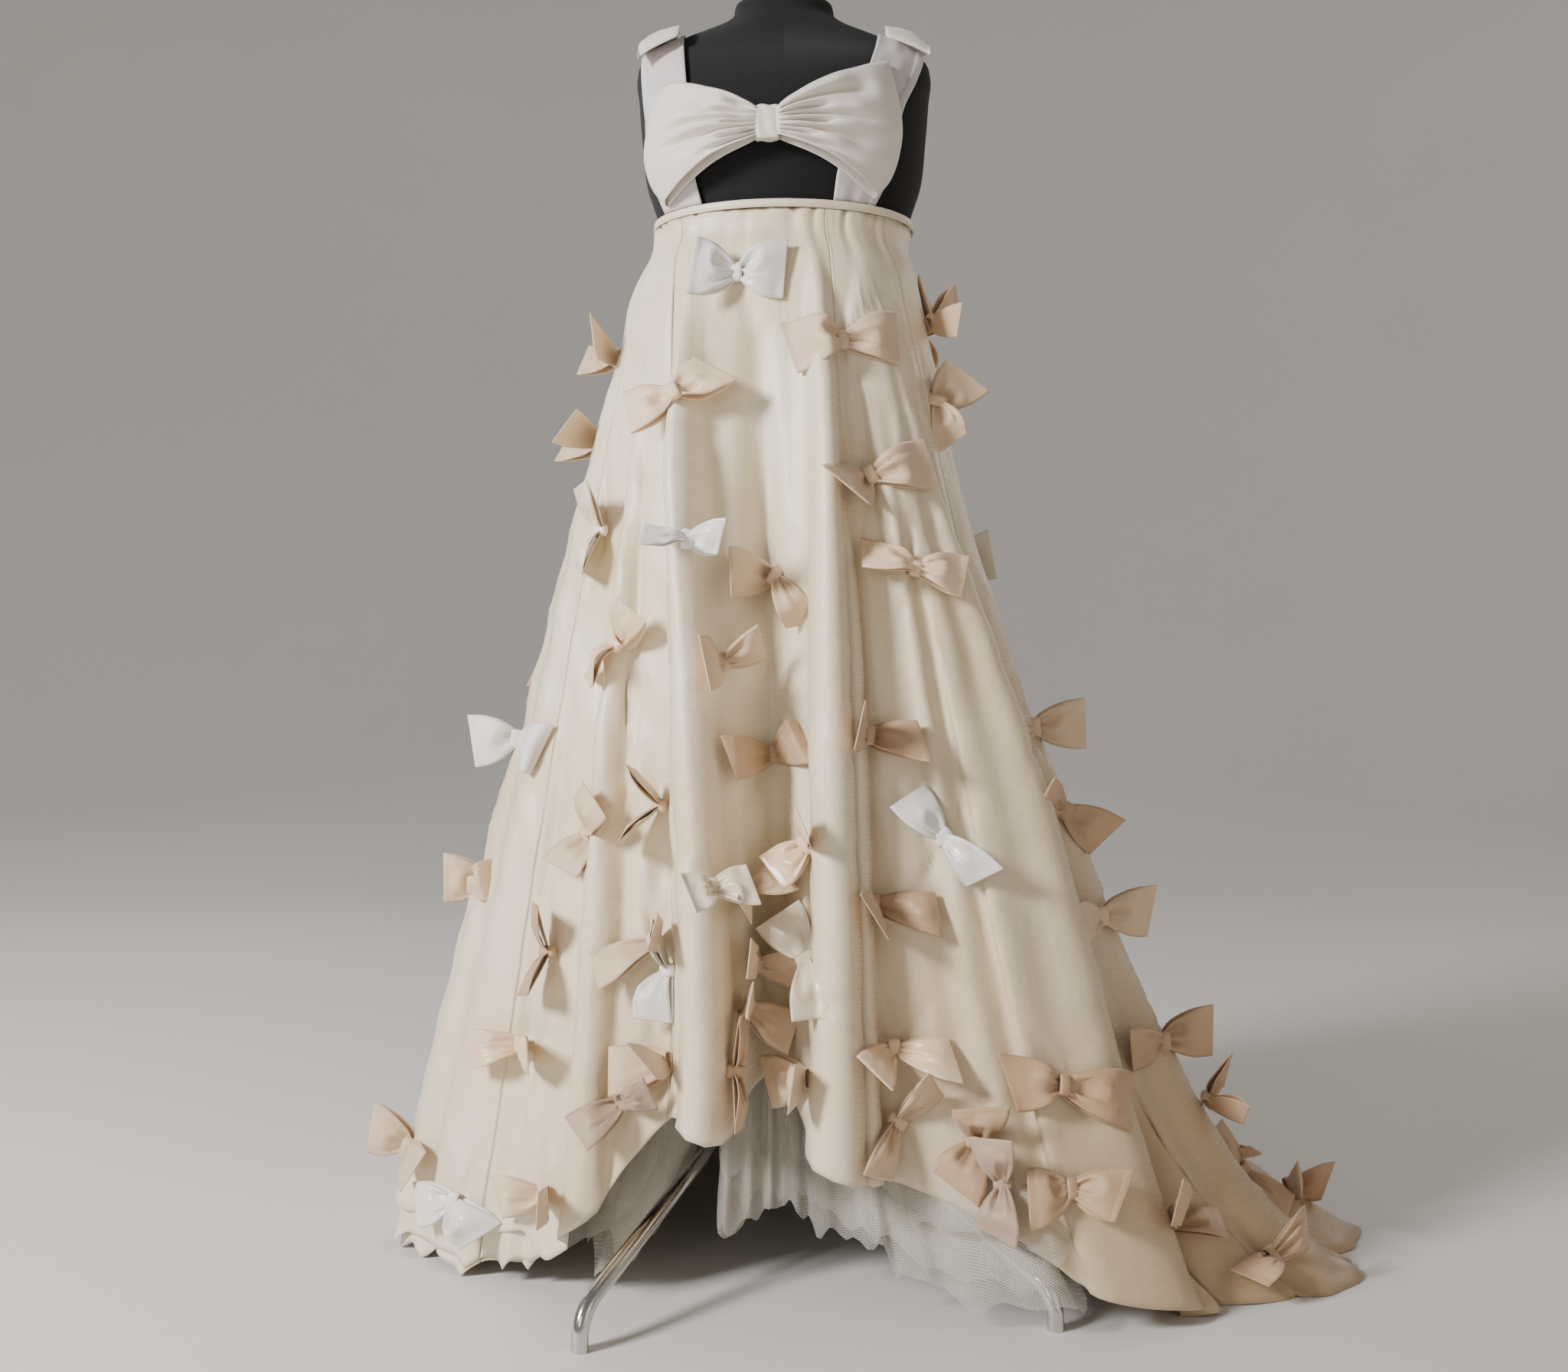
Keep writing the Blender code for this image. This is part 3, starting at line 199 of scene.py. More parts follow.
# Soft creases that the cloth itself has: hem angle, where it starts and ends down the skirt, half
# width at its start and end, depth (a ridge above zero), and how far it drifts in degrees
CREASE_COLUMNS = ("angle", "start", "end", "start_width", "end_width", "depth", "drift")
CREASES = (
    (-24, 0.14, 0.90, 0.0090, 0.0140, 0.0040, 1.0),
    (-5, 0.30, 0.88, 0.0050, 0.0090, 0.0016, 1.0),
    (0, 0.34, 0.94, 0.0030, 0.0050, -0.0024, -0.6),
    (19, 0.30, 0.80, 0.0070, 0.0110, 0.0030, 1.0),
    (23, 0.06, 0.46, 0.0080, 0.0120, -0.0028, 2.0),
    (28, 0.32, 0.86, 0.0080, 0.0150, 0.0036, 1.5),
    (31, 0.10, 0.60, 0.0070, 0.0130, -0.0034, 2.0),
    (35, 0.44, 0.95, 0.0070, 0.0140, -0.0050, 1.0),
    (38, 0.18, 0.74, 0.0060, 0.0120, 0.0036, 2.0),
    (42, 0.30, 0.97, 0.0080, 0.0160, -0.0056, 2.5),
    (45, 0.55, 0.99, 0.0070, 0.0120, 0.0044, 1.0),
    (48, 0.08, 0.98, 0.0050, 0.0080, -0.0060, 1.0),
    (55.5, 0.20, 0.99, 0.0050, 0.0080, -0.0070, 0.6),
    (58, 0.50, 0.99, 0.0060, 0.0100, 0.0050, 1.0),
    (60, 0.10, 0.62, 0.0070, 0.0120, 0.0036, 1.0),
    (67, 0.30, 0.98, 0.0060, 0.0120, 0.0050, 1.5),
    (70, 0.55, 0.99, 0.0050, 0.0080, -0.0050, 0.5),
    (77, 0.46, 0.99, 0.0060, 0.0100, -0.0060, 1.0),
    (79, 0.66, 0.99, 0.0060, 0.0090, 0.0040, 1.0),
    (86, 0.60, 0.99, 0.0060, 0.0120, 0.0050, 1.0),
    (94, 0.45, 0.99, 0.0080, 0.0140, -0.0050, 1.0),
    (101, 0.30, 0.90, 0.0080, 0.0160, 0.0040, 2.0),
    (110, 0.50, 0.99, 0.0080, 0.0140, -0.0050, 1.0),
    (124, 0.10, 0.80, 0.0070, 0.0150, 0.0044, 1.0),
    (131, 0.40, 0.99, 0.0060, 0.0120, -0.0054, -1.0),
    (146, 0.14, 0.95, 0.0060, 0.0110, -0.0050, -1.0),
    (153, 0.50, 0.99, 0.0070, 0.0140, 0.0044, 0.5),
    (165, 0.22, 0.88, 0.0060, 0.0120, -0.0046, -0.8),
    (171, 0.08, 0.60, 0.0060, 0.0110, 0.0036, 0.6),
    (183, 0.30, 0.99, 0.0060, 0.0120, -0.0054, 0.8),
    (192, 0.12, 0.80, 0.0060, 0.0130, 0.0040, 1.2),
    (204, 0.45, 0.99, 0.0080, 0.0150, -0.0048, -1.0),
    (215, 0.16, 0.86, 0.0060, 0.0120, 0.0042, 1.0),
    (229, 0.30, 0.98, 0.0070, 0.0140, -0.0050, 1.0),
    (236, 0.60, 0.99, 0.0070, 0.0120, 0.0040, -1.0),
    (243, 0.08, 0.70, 0.0060, 0.0120, -0.0036, 1.0),
    (258, 0.36, 0.96, 0.0080, 0.0150, 0.0040, 1.5),
    (266, 0.12, 0.80, 0.0070, 0.0120, -0.0040, 1.0),
    (273, 0.50, 0.99, 0.0060, 0.0120, 0.0044, -1.0),
    (281, 0.30, 0.98, 0.0120, 0.0240, -0.0040, 0.5),
    (289, 0.10, 0.80, 0.0100, 0.0220, 0.0036, 1.0),
    (299, 0.42, 0.99, 0.0090, 0.0180, -0.0050, 0.6),
    (321, 0.30, 0.99, 0.0050, 0.0070, -0.0050, 0.0),
    (326, 0.60, 0.99, 0.0070, 0.0110, 0.0044, 1.0),
)

CREASE_STRENGTH = 1.5

# Pulls under the binding: how many small ones a seed places, then the deep ones by their angle
# round the top edge, width, length and depth
SMALL_PULLS = 76
TOP_DARTS = (
    (-50, 0.0035, 0.130, 0.0050),
    (-31, 0.0030, 0.090, 0.0030),
    (-11, 0.0030, 0.080, 0.0026),
    (5, 0.0030, 0.100, 0.0030),
    (17, 0.0035, 0.140, 0.0052),
    (34, 0.0035, 0.120, 0.0050),
    (52, 0.0030, 0.100, 0.0040),
    (84, 0.0035, 0.120, 0.0045),
    (122, 0.0035, 0.130, 0.0046),
    (151, 0.0030, 0.100, 0.0036),
    (186, 0.0035, 0.140, 0.0050),
    (214, 0.0030, 0.100, 0.0040),
    (246, 0.0035, 0.120, 0.0046),
    (283, 0.0030, 0.110, 0.0040),
)

# The dress form: height, half width, and half depth in front and behind
FORM_COLUMNS = ("height", "half_width", "front", "back")
FORM = (
    (0.800, 0.140, 0.088, 0.100),
    (0.815, 0.156, 0.100, 0.113),
    (0.860, 0.164, 0.106, 0.122),
    (0.950, 0.150, 0.099, 0.110),
    (1.050, 0.129, 0.092, 0.092),
    (1.110, 0.136, 0.097, 0.094),
    (1.165, 0.1455, 0.104, 0.099),
    (1.205, 0.158, 0.116, 0.102),
    (1.250, 0.163, 0.120, 0.105),
    (1.300, 0.167, 0.105, 0.105),
    (1.330, 0.169, 0.082, 0.090),
    (1.347, 0.163, 0.066, 0.074),
    (1.362, 0.140, 0.057, 0.064),
    (1.374, 0.112, 0.052, 0.058),
    (1.385, 0.080, 0.049, 0.054),
    (1.395, 0.062, 0.047, 0.050),
    (1.412, 0.057, 0.046, 0.048),
)

SHOULDER_CENTRE = 1.262
STRAP_END = 1.1606
STRAP_TURN_DOWN = 42
STRAP_CLEARANCE = 0.0046

# The two straps: turn over the shoulder and the x of the outer and the inner edge there
STRAP_COLUMNS = ("turn", "outer", "inner")
STRAPS = {
    "strap_short_side": (
        (-42, -0.1340, -0.0900),
        (-30, -0.1460, -0.0980),
        (-15, -0.1540, -0.1030),
        (10, -0.1570, -0.1060),
        (40, -0.1600, -0.1100),
        (70, -0.1620, -0.1130),
        (90, -0.1600, -0.1130),
        (120, -0.1600, -0.1120),
        (160, -0.1560, -0.1060),
        (190, -0.1480, -0.0960),
        (222, -0.1300, -0.0820),
    ),
    "strap_train_side": (
        (-42, 0.1010, 0.0540),
        (-30, 0.1150, 0.0580),
        (-15, 0.1240, 0.0680),
        (10, 0.1350, 0.0830),
        (40, 0.1490, 0.0970),
        (70, 0.1590, 0.1060),
        (90, 0.1600, 0.1090),
        (120, 0.1600, 0.1100),
        (160, 0.1560, 0.1040),
        (190, 0.1460, 0.0940),
        (222, 0.1260, 0.0790),
    ),
}

# The bust bow's wings: part of the way up the wing's end, and its x and height there
WING_COLUMNS = ("part", "x", "height")
WINGS = {
    "bust_bow_wing_short_side": (
        (0.00, -0.1310, 1.1640),
        (0.20, -0.1470, 1.1850),
        (0.45, -0.1565, 1.2160),
        (0.70, -0.1535, 1.2460),
        (1.00, -0.1350, 1.2950),
    ),
    "bust_bow_wing_train_side": (
        (0.00, 0.1000, 1.1660),
        (0.20, 0.1170, 1.1860),
        (0.45, 0.1280, 1.2180),
        (0.70, 0.1300, 1.2540),
        (1.00, 0.1160, 1.3200),
    ),
}
# Troughs that run out from the knot: part of the way up, length along the wing, width, depth
WING_GATHERS = {
    "bust_bow_wing_short_side": (
        (0.90, 0.34, 0.050, 0.0050),
        (0.74, 0.50, 0.045, 0.0060),
        (0.60, 0.86, 0.040, 0.0046),
        (0.50, 0.40, 0.040, 0.0060),
        (0.36, 0.92, 0.045, 0.0058),
        (0.20, 0.44, 0.050, 0.0060),
        (0.08, 0.60, 0.040, 0.0040),
    ),
    "bust_bow_wing_train_side": (
        (0.86, 0.88, 0.040, 0.0050),
        (0.74, 0.46, 0.045, 0.0056),
        (0.64, 0.96, 0.040, 0.0042),
        (0.50, 0.54, 0.045, 0.0062),
        (0.34, 0.90, 0.045, 0.0056),
        (0.22, 0.40, 0.050, 0.0060),
        (0.10, 0.70, 0.040, 0.0046),
    ),
}
KNOT_X = -0.0180
KNOT_HALF_WIDTH = 0.0125
KNOT_LOW = 1.2170
KNOT_HIGH = 1.2520

# Bows on the skirt as seen from the front: hem angle and drop of the knot, how far the bow turns to
# face the front, then for the right and the left wing its direction in degrees, length and end
# height in millimetres and the slant of its end, and the cloth
BOW_COLUMNS = (
    "name", "angle", "drop", "fronted",
    "right_turn", "right_length", "right_height", "right_slant",
    "left_turn", "left_length", "left_height", "left_slant",
    "cloth",
)
BOWS = (
    ("01", -7, 0.088, 0.0, 2, 52, 64, 6, 180, 42, 64, 8, "white satin"),
    ("02", 23, 0.156, 0.0, 4, 61, 58, 1, 188, 57, 57, -10, "beige"),
    ("03", -17, 0.224, 0.0, 40, 51, 56, -22, 197, 56, 56, -2, "peach"),
    ("04", 31, 0.295, 0.0, 14, 68, 56, -1, 218, 38, 62, -28, "beige"),
    ("05", 70, 0.187, 0.85, 40, 48, 58, -14, 285, 50, 38, -20, "beige"),
    ("06", -57, 0.314, 0.2, 96, 42, 40, 6, 256, 50, 36, 12, "cream satin"),
    ("07", -16, 0.387, 0.0, 352, 36, 33, 8, 182, 45, 30, 10, "white satin"),
    ("08", -1, 0.443, 0.0, 302, 62, 38, 20, 178, 44, 54, -5, "beige"),
    ("09", 41, 0.373, 0.0, 350, 54, 48, 6, 165, 58, 40, -5, "peach satin"),
    ("10", -40.5, 0.454, 0.0, 42, 46, 38, -8, 232, 52, 38, -9, "peach satin"),
    ("11", -12.5, 0.523, 0.0, 26, 34, 36, -5, 194, 42, 58, 6, "beige"),
    ("12", -82, 0.509, 0.95, 345, 42, 60, 12, 183, 54, 60, -7, "white"),
    ("13", -3, 0.645, 0.0, 18, 40, 52, -14, 191, 40, 46, -9, "tan"),
    ("14", 18.5, 0.567, 0.0, 346, 46, 44, -12, 172, 34, 50, 6, "tan"),
    ("15", 71, 0.496, 0.9, 4, 60, 56, 5, 185, 46, 47, 0, "beige"),
    ("16", 37.5, 0.642, 0.0, 316, 58, 38, 20, 130, 54, 44, 5, "white satin"),
    ("17", 71, 0.574, 0.85, 330, 60, 54, 20, 159, 46, 40, 0, "tan"),
    ("18", -44.5, 0.625, 0.0, 52, 42, 50, 7, 240, 44, 50, -10, "beige"),
    ("19", -29, 0.668, 0.0, 83, 36, 28, -16, 262, 42, 26, -10, "beige"),
    ("20", -16, 0.747, 0.0, 1, 34, 41, -5, 186, 37, 40, 0, "cream satin"),
    ("21", 6, 0.825, 0.8, 284, 54, 38, 10, 128, 52, 54, 4, "cream satin"),
    ("22", 22.5, 0.735, 0.0, 344, 50, 44, -10, 200, 34, 56, -24, "tan"),
    ("23", 71, 0.672, 0.9, 4, 58, 56, 14, 183, 44, 46, 2, "beige"),
    ("24", -31, 0.803, 0.0, 22, 40, 38, 2, 214, 56, 42, 1, "beige"),
    ("25", -61, 0.793, 0.3, 354, 40, 40, 6, 188, 55, 40, -6, "peach satin"),
    ("26", 26, 0.871, 0.0, 350, 56, 40, -20, 208, 36, 42, -16, "peach satin"),
    ("27", 72, 0.788, 0.9, 8, 60, 55, 10, 182, 49, 48, -8, "tan"),
    ("28", 47.5, 0.822, 0.0, 342, 78, 58, -10, 172, 56, 56, -20, "tan satin"),
    ("29", 7, 0.935, 0.0, 356, 36, 48, 8, 194, 46, 54, -16, "beige"),
    ("30", 25.5, 0.940, 0.0, 48, 50, 34, 8, 240, 56, 34, -12, "beige"),
    ("31", 36, 0.928, 0.0, 82, 36, 56, -20, 244, 46, 58, 9, "tan"),
    ("32", -68, 0.932, 0.4, 325, 50, 40, 16, 192, 54, 48, -4, "white satin"),
    ("33", -51, 0.937, 0.0, 352, 38, 42, 10, 188, 48, 46, 1, "peach"),
    ("34", 46.5, 0.912, 0.0, 346, 42, 54, 24, 188, 48, 58, 13, "tan"),
    ("35", -91, 0.128, 0.5, 0, 40, 44, 0, 186, 38, 44, -8, "beige"),
    ("36", -95, 0.212, 0.5, 351, 42, 44, 9, 190, 42, 44, -10, "beige"),
    ("37", 88, 0.100, 0.4, 42, 40, 42, -12, 209, 38, 36, -10, "beige"),
    ("38", 7, 0.700, 0.5, 48, 32, 38, 10, 223, 44, 46, -4, "peach satin"),
    ("39", -91, 0.655, 0.8, 12, 42, 50, -1, 172, 44, 56, -12, "beige"),
    ("40", -10, 0.780, 0.3, 22, 34, 34, -12, 209, 36, 36, -12, "beige"),
    ("41", -9, 0.866, 0.3, 350, 40, 40, 8, 160, 36, 40, 5, "beige"),
    ("42", -56, 0.712, 0.0, 92, 48, 32, 8, 270, 46, 34, -6, "tan"),
    ("43", -25, 0.850, 0.0, 91, 50, 28, -8, 271, 50, 28, 4, "white satin"),
    ("44", -14, 0.935, 0.3, 76, 56, 30, -10, 263, 54, 30, -4, "tan"),
    ("45", -10.5, 0.905, 0.3, 326, 48, 46, -3, 148, 36, 38, 3, "beige"),
    ("46", -24.5, 0.945, 0.0, 14, 38, 36, -2, 200, 48, 50, 3, "beige"),
    ("47", -36, 0.930, 0.0, 20, 40, 34, 2, 216, 50, 42, -10, "mauve"),
    ("48", -84, 0.905, 0.8, 343, 38, 44, 10, 156, 48, 56, -14, "beige"),
    ("49", 38, 0.955, 0.0, 105, 46, 40, 16, 262, 48, 42, 16, "mauve"),
    ("50", 64.5, 0.940, 0.0, 346, 50, 38, 10, 172, 42, 34, -3, "tan"),
    ("51", 73.5, 0.850, 0.3, 40, 34, 34, 12, 226, 36, 32, -14, "tan"),
    ("52", 86, 0.930, 0.7, 118, 52, 38, -4, 310, 58, 40, -10, "tan"),
    ("53", 90, 0.960, 0.6, 355, 36, 36, 12, 190, 36, 38, -12, "tan"),
    ("54", 70, 0.968, 0.0, 14, 54, 36, 10, 196, 52, 34, -8, "tan"),
)
SOLID_BOWS = 34
# Every loop is cut about alike: one that looks smaller in the picture is turned away
LEAST_LOOP_HEIGHT = 0.050
LEAST_LOOP_LENGTH = 0.050
# Bows on the hidden sides: rows by their drop, then the angle of the first and the step between them
HIDDEN_ROWS = (
    (0.110, 98, 62, 3),
    (0.215, 124, 58, 3),
    (0.325, 96, 46, 4),
    (0.435, 118, 44, 4),
    (0.545, 100, 36, 5),
    (0.655, 114, 33, 5),
    (0.760, 98, 30, 6),
    (0.865, 110, 28, 6),
    (0.945, 100, 29, 6),
)
HIDDEN_CLOTHS = ("beige", "cream satin", "tan", "peach satin", "beige", "white satin", "tan", "peach")

# The small bows over the shoulders: x of the knot, its turn over the shoulder, tilt and sizes
SHOULDER_COLUMNS = ("name", "x", "turn", "tilt", "length", "height", "front_slant", "back_slant")
SHOULDER_BOWS = (
    ("shoulder_bow_short_side", -0.137, 98, -12, 0.122, 0.060, -34, 10),
    ("shoulder_bow_train_side", 0.137, 98, 12, 0.116, 0.066, 18, -20),
)
SHOULDER_ROUNDING = 0.075
SHOULDER_EDGE = 0.163

# The net petticoat: angle, how far its hem reaches and how high it ends
PETTICOAT_COLUMNS = ("angle", "reach", "height")
PETTICOAT = (
    (-150, 0.320, 0.140),
    (-110, 0.320, 0.140),
    (-80, 0.320, 0.120),
    (-62, 0.300, 0.060),
    (-48, 0.275, 0.016),
    (-40, 0.250, 0.012),
    (-34, 0.190, 0.120),
    (-29, 0.150, 0.180),
    (-24, 0.170, 0.130),
    (-18, 0.210, 0.040),
    (-10, 0.195, 0.050),
    (0, 0.170, 0.070),
    (10, 0.190, 0.060),
    (20, 0.245, 0.050),
    (30, 0.330, 0.012),
    (36, 0.385, 0.006),
    (42, 0.420, 0.004),
    (47, 0.405, 0.012),
    (54, 0.375, 0.030),
    (64, 0.340, 0.100),
    (80, 0.330, 0.140),
    (120, 0.330, 0.140),
    (165, 0.320, 0.140),
)
PETTICOAT_TOP = 1.100
PETTICOAT_SWEEP = 3.0
PETTICOAT_WAVES = 18
NET_PLEATS = 46
NET_COLUMNS = 200
NET_ROWS = 30
# Each layer's name, angles, the solid it stands for, how much higher its hem ends, inset and seed
NET_LAYERS = (
    ("petticoat_front_net", -90, 90, "petticoat_front", 0.000, 0.000, 31),
    ("petticoat_back_net", 90, 270, "petticoat_back", 0.000, 0.000, 32),
    ("petticoat_front_under_net", -88, 88, None, 0.018, 0.022, 33),
    ("petticoat_back_under_net", 92, 268, None, 0.020, 0.022, 34),
    ("petticoat_front_inner_net", -80, 80, None, 0.040, 0.044, 35),
    ("petticoat_front_short_net", -60, 60, None, 0.070, 0.012, 36),
)

# The stand
FIRST_LEG = -29.5
LEGS = 5
FOOT_REACH = 0.393
LEG_SLOPE = 0.4355
LEG_ROOT_HEIGHT = 0.207
SOCKET_START = 0.0175
SOCKET_END = 0.128
BEND_RADIUS = 0.040
HUB_LOW = 0.160
HUB_HIGH = 0.232
POLE_RADIUS = 0.0125
HUB_RADII = {"sleeve": 0.024, "sockets": 0.0112, "screws": 0.0040, "knobs": 0.0070}


def linear(code):
    """Linear red, green and blue of an sRGB hex colour."""
    values = [int(code[place : place + 2], 16) / 255 for place in (0, 2, 4)]
    return tuple(v / 12.92 if v <= 0.04045 else ((v + 0.055) / 1.055) ** 2.4 for v in values)


def columns_of(rows, names):
    """A table's columns by name, as arrays."""
    return {name: np.array(values) for name, values in zip(names, zip(*rows))}


def smooth_curve(stations, values, wanted, period=None):
    """Values at the wanted places, on a smooth curve through the rows of a table."""
    order = np.argsort(stations)
    stations = np.asarray(stations, float)[order]
    values = np.asarray(values, float)[order]
    wanted = np.asarray(wanted, float)
    if period:
        wanted = stations[0] + (wanted - stations[0]) % period
        stations = np.concatenate([stations[-2:] - period, stations, stations[:2] + period])
        values = np.concatenate([values[-2:], values, values[:2]])
    slopes = np.gradient(values, stations)
    place = np.clip(np.searchsorted(stations, wanted) - 1, 0, len(stations) - 2)
    width = stations[place + 1] - stations[place]
    part = np.clip((wanted - stations[place]) / width, 0, 1)
    rising = part * part * (3 - 2 * part)
    start = part * (1 - part) ** 2 * width * slopes[place]
    end = part**2 * (part - 1) * width * slopes[place + 1]
    return values[place] * (1 - rising) + values[place + 1] * rising + start + end


def bell(place):
    """1 in the middle, and gone by about 2 to either side."""
    return np.exp(-(place**2))


def smooth_step(low, high, value):
    part = np.clip((value - low) / (high - low), 0, 1)
    return part * part * (3 - 2 * part)


def soft_noise(u, v, seed):
    """Smooth noise from -1 to 1, one random value at each whole u and v."""
    lattice = np.random.default_rng(seed).uniform(-1, 1, (97, 89))
    column, row = np.floor(u).astype(int), np.floor(v).astype(int)
    across, down = u - column, v - row
    across = across * across * (3 - 2 * across)
    down = down * down * (3 - 2 * down)

    def corner(right, below):
        return lattice[(column + right) % 97, (row + below) % 89]

    upper = corner(0, 0) * (1 - across) + corner(1, 0) * across
    lower = corner(0, 1) * (1 - across) + corner(1, 1) * across
    return upper * (1 - down) + lower * down


def ring_reach(half_width, half_depth, turn):
    """Distance from the centre of an oval to its edge, turn in radians from the front."""
    return 1 / np.sqrt((np.sin(turn) / half_width) ** 2 + (np.cos(turn) / half_depth) ** 2)


def hem_value(name, angle):
    rows = columns_of(HEM, HEM_COLUMNS)
    if name == "top_angle":
        return angle + smooth_curve(rows["angle"], rows["top_angle"] - rows["angle"], angle, 360)
    return smooth_curve(rows["angle"], rows[name], angle, 360)


def cloth_turn(angle, drop):
    """Angle round the pole, in degrees, of a line of cloth at some drop below the top edge."""
    return angle + (hem_value("top_angle", angle) - angle) * (1 - drop) ** DRIFT_POWER


def skirt_point(angle, drop):
    """Point of the skirt: hem angle in degrees, drop from 0 at the top edge to 1 at the hem."""
    angle, drop = np.broadcast_arrays(np.asarray(angle, float), np.asarray(drop, float))
    turn = np.radians(cloth_turn(angle, np.clip(drop, 0, 1)))
    sweep = np.clip(hem_value("sweep", angle), 0, 1)
    power = FLARE_POWER + SWEPT_FLARE * sweep
    flare = (1 - sweep) * drop**power + sweep * drop**SWEEP_POWER
    top = ring_reach(TOP_HALF_WIDTH, TOP_HALF_DEPTH, turn)
    reach = top + (hem_value("reach", angle) - top) * flare
    reach = reach - TOP_NIP * bell((drop - NIP_DROP) / (0.7 * NIP_DROP))
    height = SKIRT_TOP - drop * (SKIRT_TOP - np.maximum(hem_value("height", angle), 0.001))
    outward = np.stack([np.sin(turn), -np.cos(turn)], -1)
    along = np.stack([np.cos(turn), np.sin(turn)], -1)
    plan = outward * reach[..., None]
    for row in FOLDS:
        fold = dict(zip(FOLD_COLUMNS, row))
        centre = np.radians(cloth_turn(fold["angle"], np.clip(drop, 0, 1)))
        off = (turn - centre + math.pi) % (2 * math.pi) - math.pi
        width = fold["top_width"] + (fold["hem_width"] - fold["top_width"]) * drop
        place = np.clip(off * reach / width, -1, 1)
        grown = smooth_step(fold["start"], fold["full"], drop)
        full = np.cos(place * math.pi / 2) ** 2 * grown
        side = fold["square"] * width * np.sin(place * math.pi) * grown
        side = side + fold["lean"] * abs(fold["depth"]) * full
        plan = plan + outward * (fold["depth"] * full)[..., None] + along * side[..., None]
    return np.concatenate([plan, height[..., None]], -1)


def facing(surface, first, second, step=(0.15, 0.002)):
    """Unit normals of a surface of two values, pointing away from the pole."""
    across = surface(first + step[0], second) - surface(first - step[0], second)
    down = surface(first, second + step[1]) - surface(first, second - step[1])
    normal = np.cross(down, across)
    return normal / np.linalg.norm(normal, axis=-1, keepdims=True)


def new_object(name, mesh, *materials):
    for material in materials:
        mesh.materials.append(material)
    obj = bpy.data.objects.new(name, mesh)
    bpy.context.scene.collection.objects.link(obj)
    return obj


def cloth_grid(points, ring=False, flip=False):
    """A grid of points with flat-pattern UVs in metres: each row is laid out straight and centred.

    Rows run down, and columns to the left of the face's back. A ring's last column meets its first."""
    points = np.asarray(points, float)
    laid = np.concatenate([points, points[:, :1]], 1) if ring else points
    across = np.linalg.norm(np.diff(laid, axis=1), axis=-1)
    across = np.concatenate([np.zeros((len(laid), 1)), np.cumsum(across, 1)], 1)
    across = across - across[:, -1:] / 2
    down = np.linalg.norm(np.diff(laid, axis=0), axis=-1).mean(1)
    down = np.concatenate([[0], np.cumsum(down)])
    uv = np.stack([across, np.broadcast_to(down[:, None], across.shape)], -1)
    return {"points": points, "uv": uv, "ring": ring, "flip": flip}


def grids_object(name, grids, material):
    """One object from grids of points."""
    points, faces, uvs, count = [], [], [], 0
    for grid in grids:
        place, uv = grid["points"], grid["uv"]
        rows, columns = place.shape[:2]
        index = np.arange(rows * columns).reshape(rows, columns) + count
        if grid["ring"]:
            index = np.concatenate([index, index[:, :1]], 1)
        if grid["flip"]:
            index, uv = index[:, ::-1], uv[:, ::-1]
        quads = np.stack([index[:-1, :-1], index[1:, :-1], index[1:, 1:], index[:-1, 1:]], -1)
        corners = np.stack([uv[:-1, :-1], uv[1:, :-1], uv[1:, 1:], uv[:-1, 1:]], -2)
        faces.append(quads.reshape(-1, 4))
        uvs.append(corners.reshape(-1, 2))
        points.append(place.reshape(-1, 3))
        count += rows * columns
    mesh = bpy.data.meshes.new(name)
    mesh.from_pydata((np.concatenate(points) + AXIS).tolist(), [], np.concatenate(faces).tolist())
    layer = mesh.uv_layers.new(name="cloth")
    layer.data.foreach_set("uv", np.concatenate(uvs).ravel())
    mesh.shade_smooth()
    mesh.update()
    return new_object(name, mesh, material)


def grid_area(points):
    """Area of a grid of points."""
    first = points[1:, 1:] - points[:-1, :-1]
    second = points[1:, :-1] - points[:-1, 1:]
    return float(np.linalg.norm(np.cross(first, second), axis=-1).sum() / 2)


def thicken(obj, thickness):
    """Gives a cloth surface its thickness, on the inner side."""
    wall = obj.modifiers.new("thickness", "SOLIDIFY")
    wall.thickness = thickness
    wall.offset = -1


def hand_over(obj, node=None):
    """Hides the solid a piece stands for and fixes the piece to the root body. Nothing on the dress
    moves.
    """
    if node:
        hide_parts(node)
    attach(obj, "root")


def lengths_along(points, axis):
    """Length of each row (axis 1) or each column (axis 0) of a grid of points."""
    return np.linalg.norm(np.diff(points, axis=axis), axis=-1).sum(axis)


def add(tree, kind, inputs=None, **settings):
    """Adds a node with its settings. An input takes a value, an output, or a node's first output."""
    made = tree.nodes.new(kind)
    for key, value in settings.items():
        setattr(made, key, value)
    for key, value in (inputs or {}).items():
        if isinstance(value, bpy.types.Node):
            value = value.outputs[0]
        if isinstance(value, bpy.types.NodeSocket):
            tree.links.new(value, made.inputs[key])
        else:
            made.inputs[key].default_value = value
    return made


def new_material(name):
    """A material, its empty node tree, and two places to draw on: the flat cloth and the object."""
    material = bpy.data.materials.new(name)
    material.use_nodes = True
    tree = material.node_tree
    tree.nodes.clear()
    where = add(tree, "ShaderNodeTexCoord").outputs
    return material, tree, where["UV"], where["Object"]


def shaded(colour, *shades):
    """A colour with each of its parts made darker."""
    return tuple(value * shade for value, shade in zip(colour, shades))


# A wave texture runs through one band in this length at a scale of 1
WAVE_LENGTH = 2 * math.pi / 20
# Real taffeta has about 40 threads a centimetre, too fine for the render, so 12 are drawn
TAFFETA_THREAD = 0.00085
TAFFETA_RELIEF = 0.00010
# Slubs are thicker stretches of weft: about 1.5 mm apart and 60 mm long
SLUB_SPACING = 0.0015
SLUB_LENGTH = 0.060
SATIN_THREAD = 0.0007
FLOAT_LENGTH = 0.02
NET_CELL = 0.0022
JERSEY_RIB = 0.0011
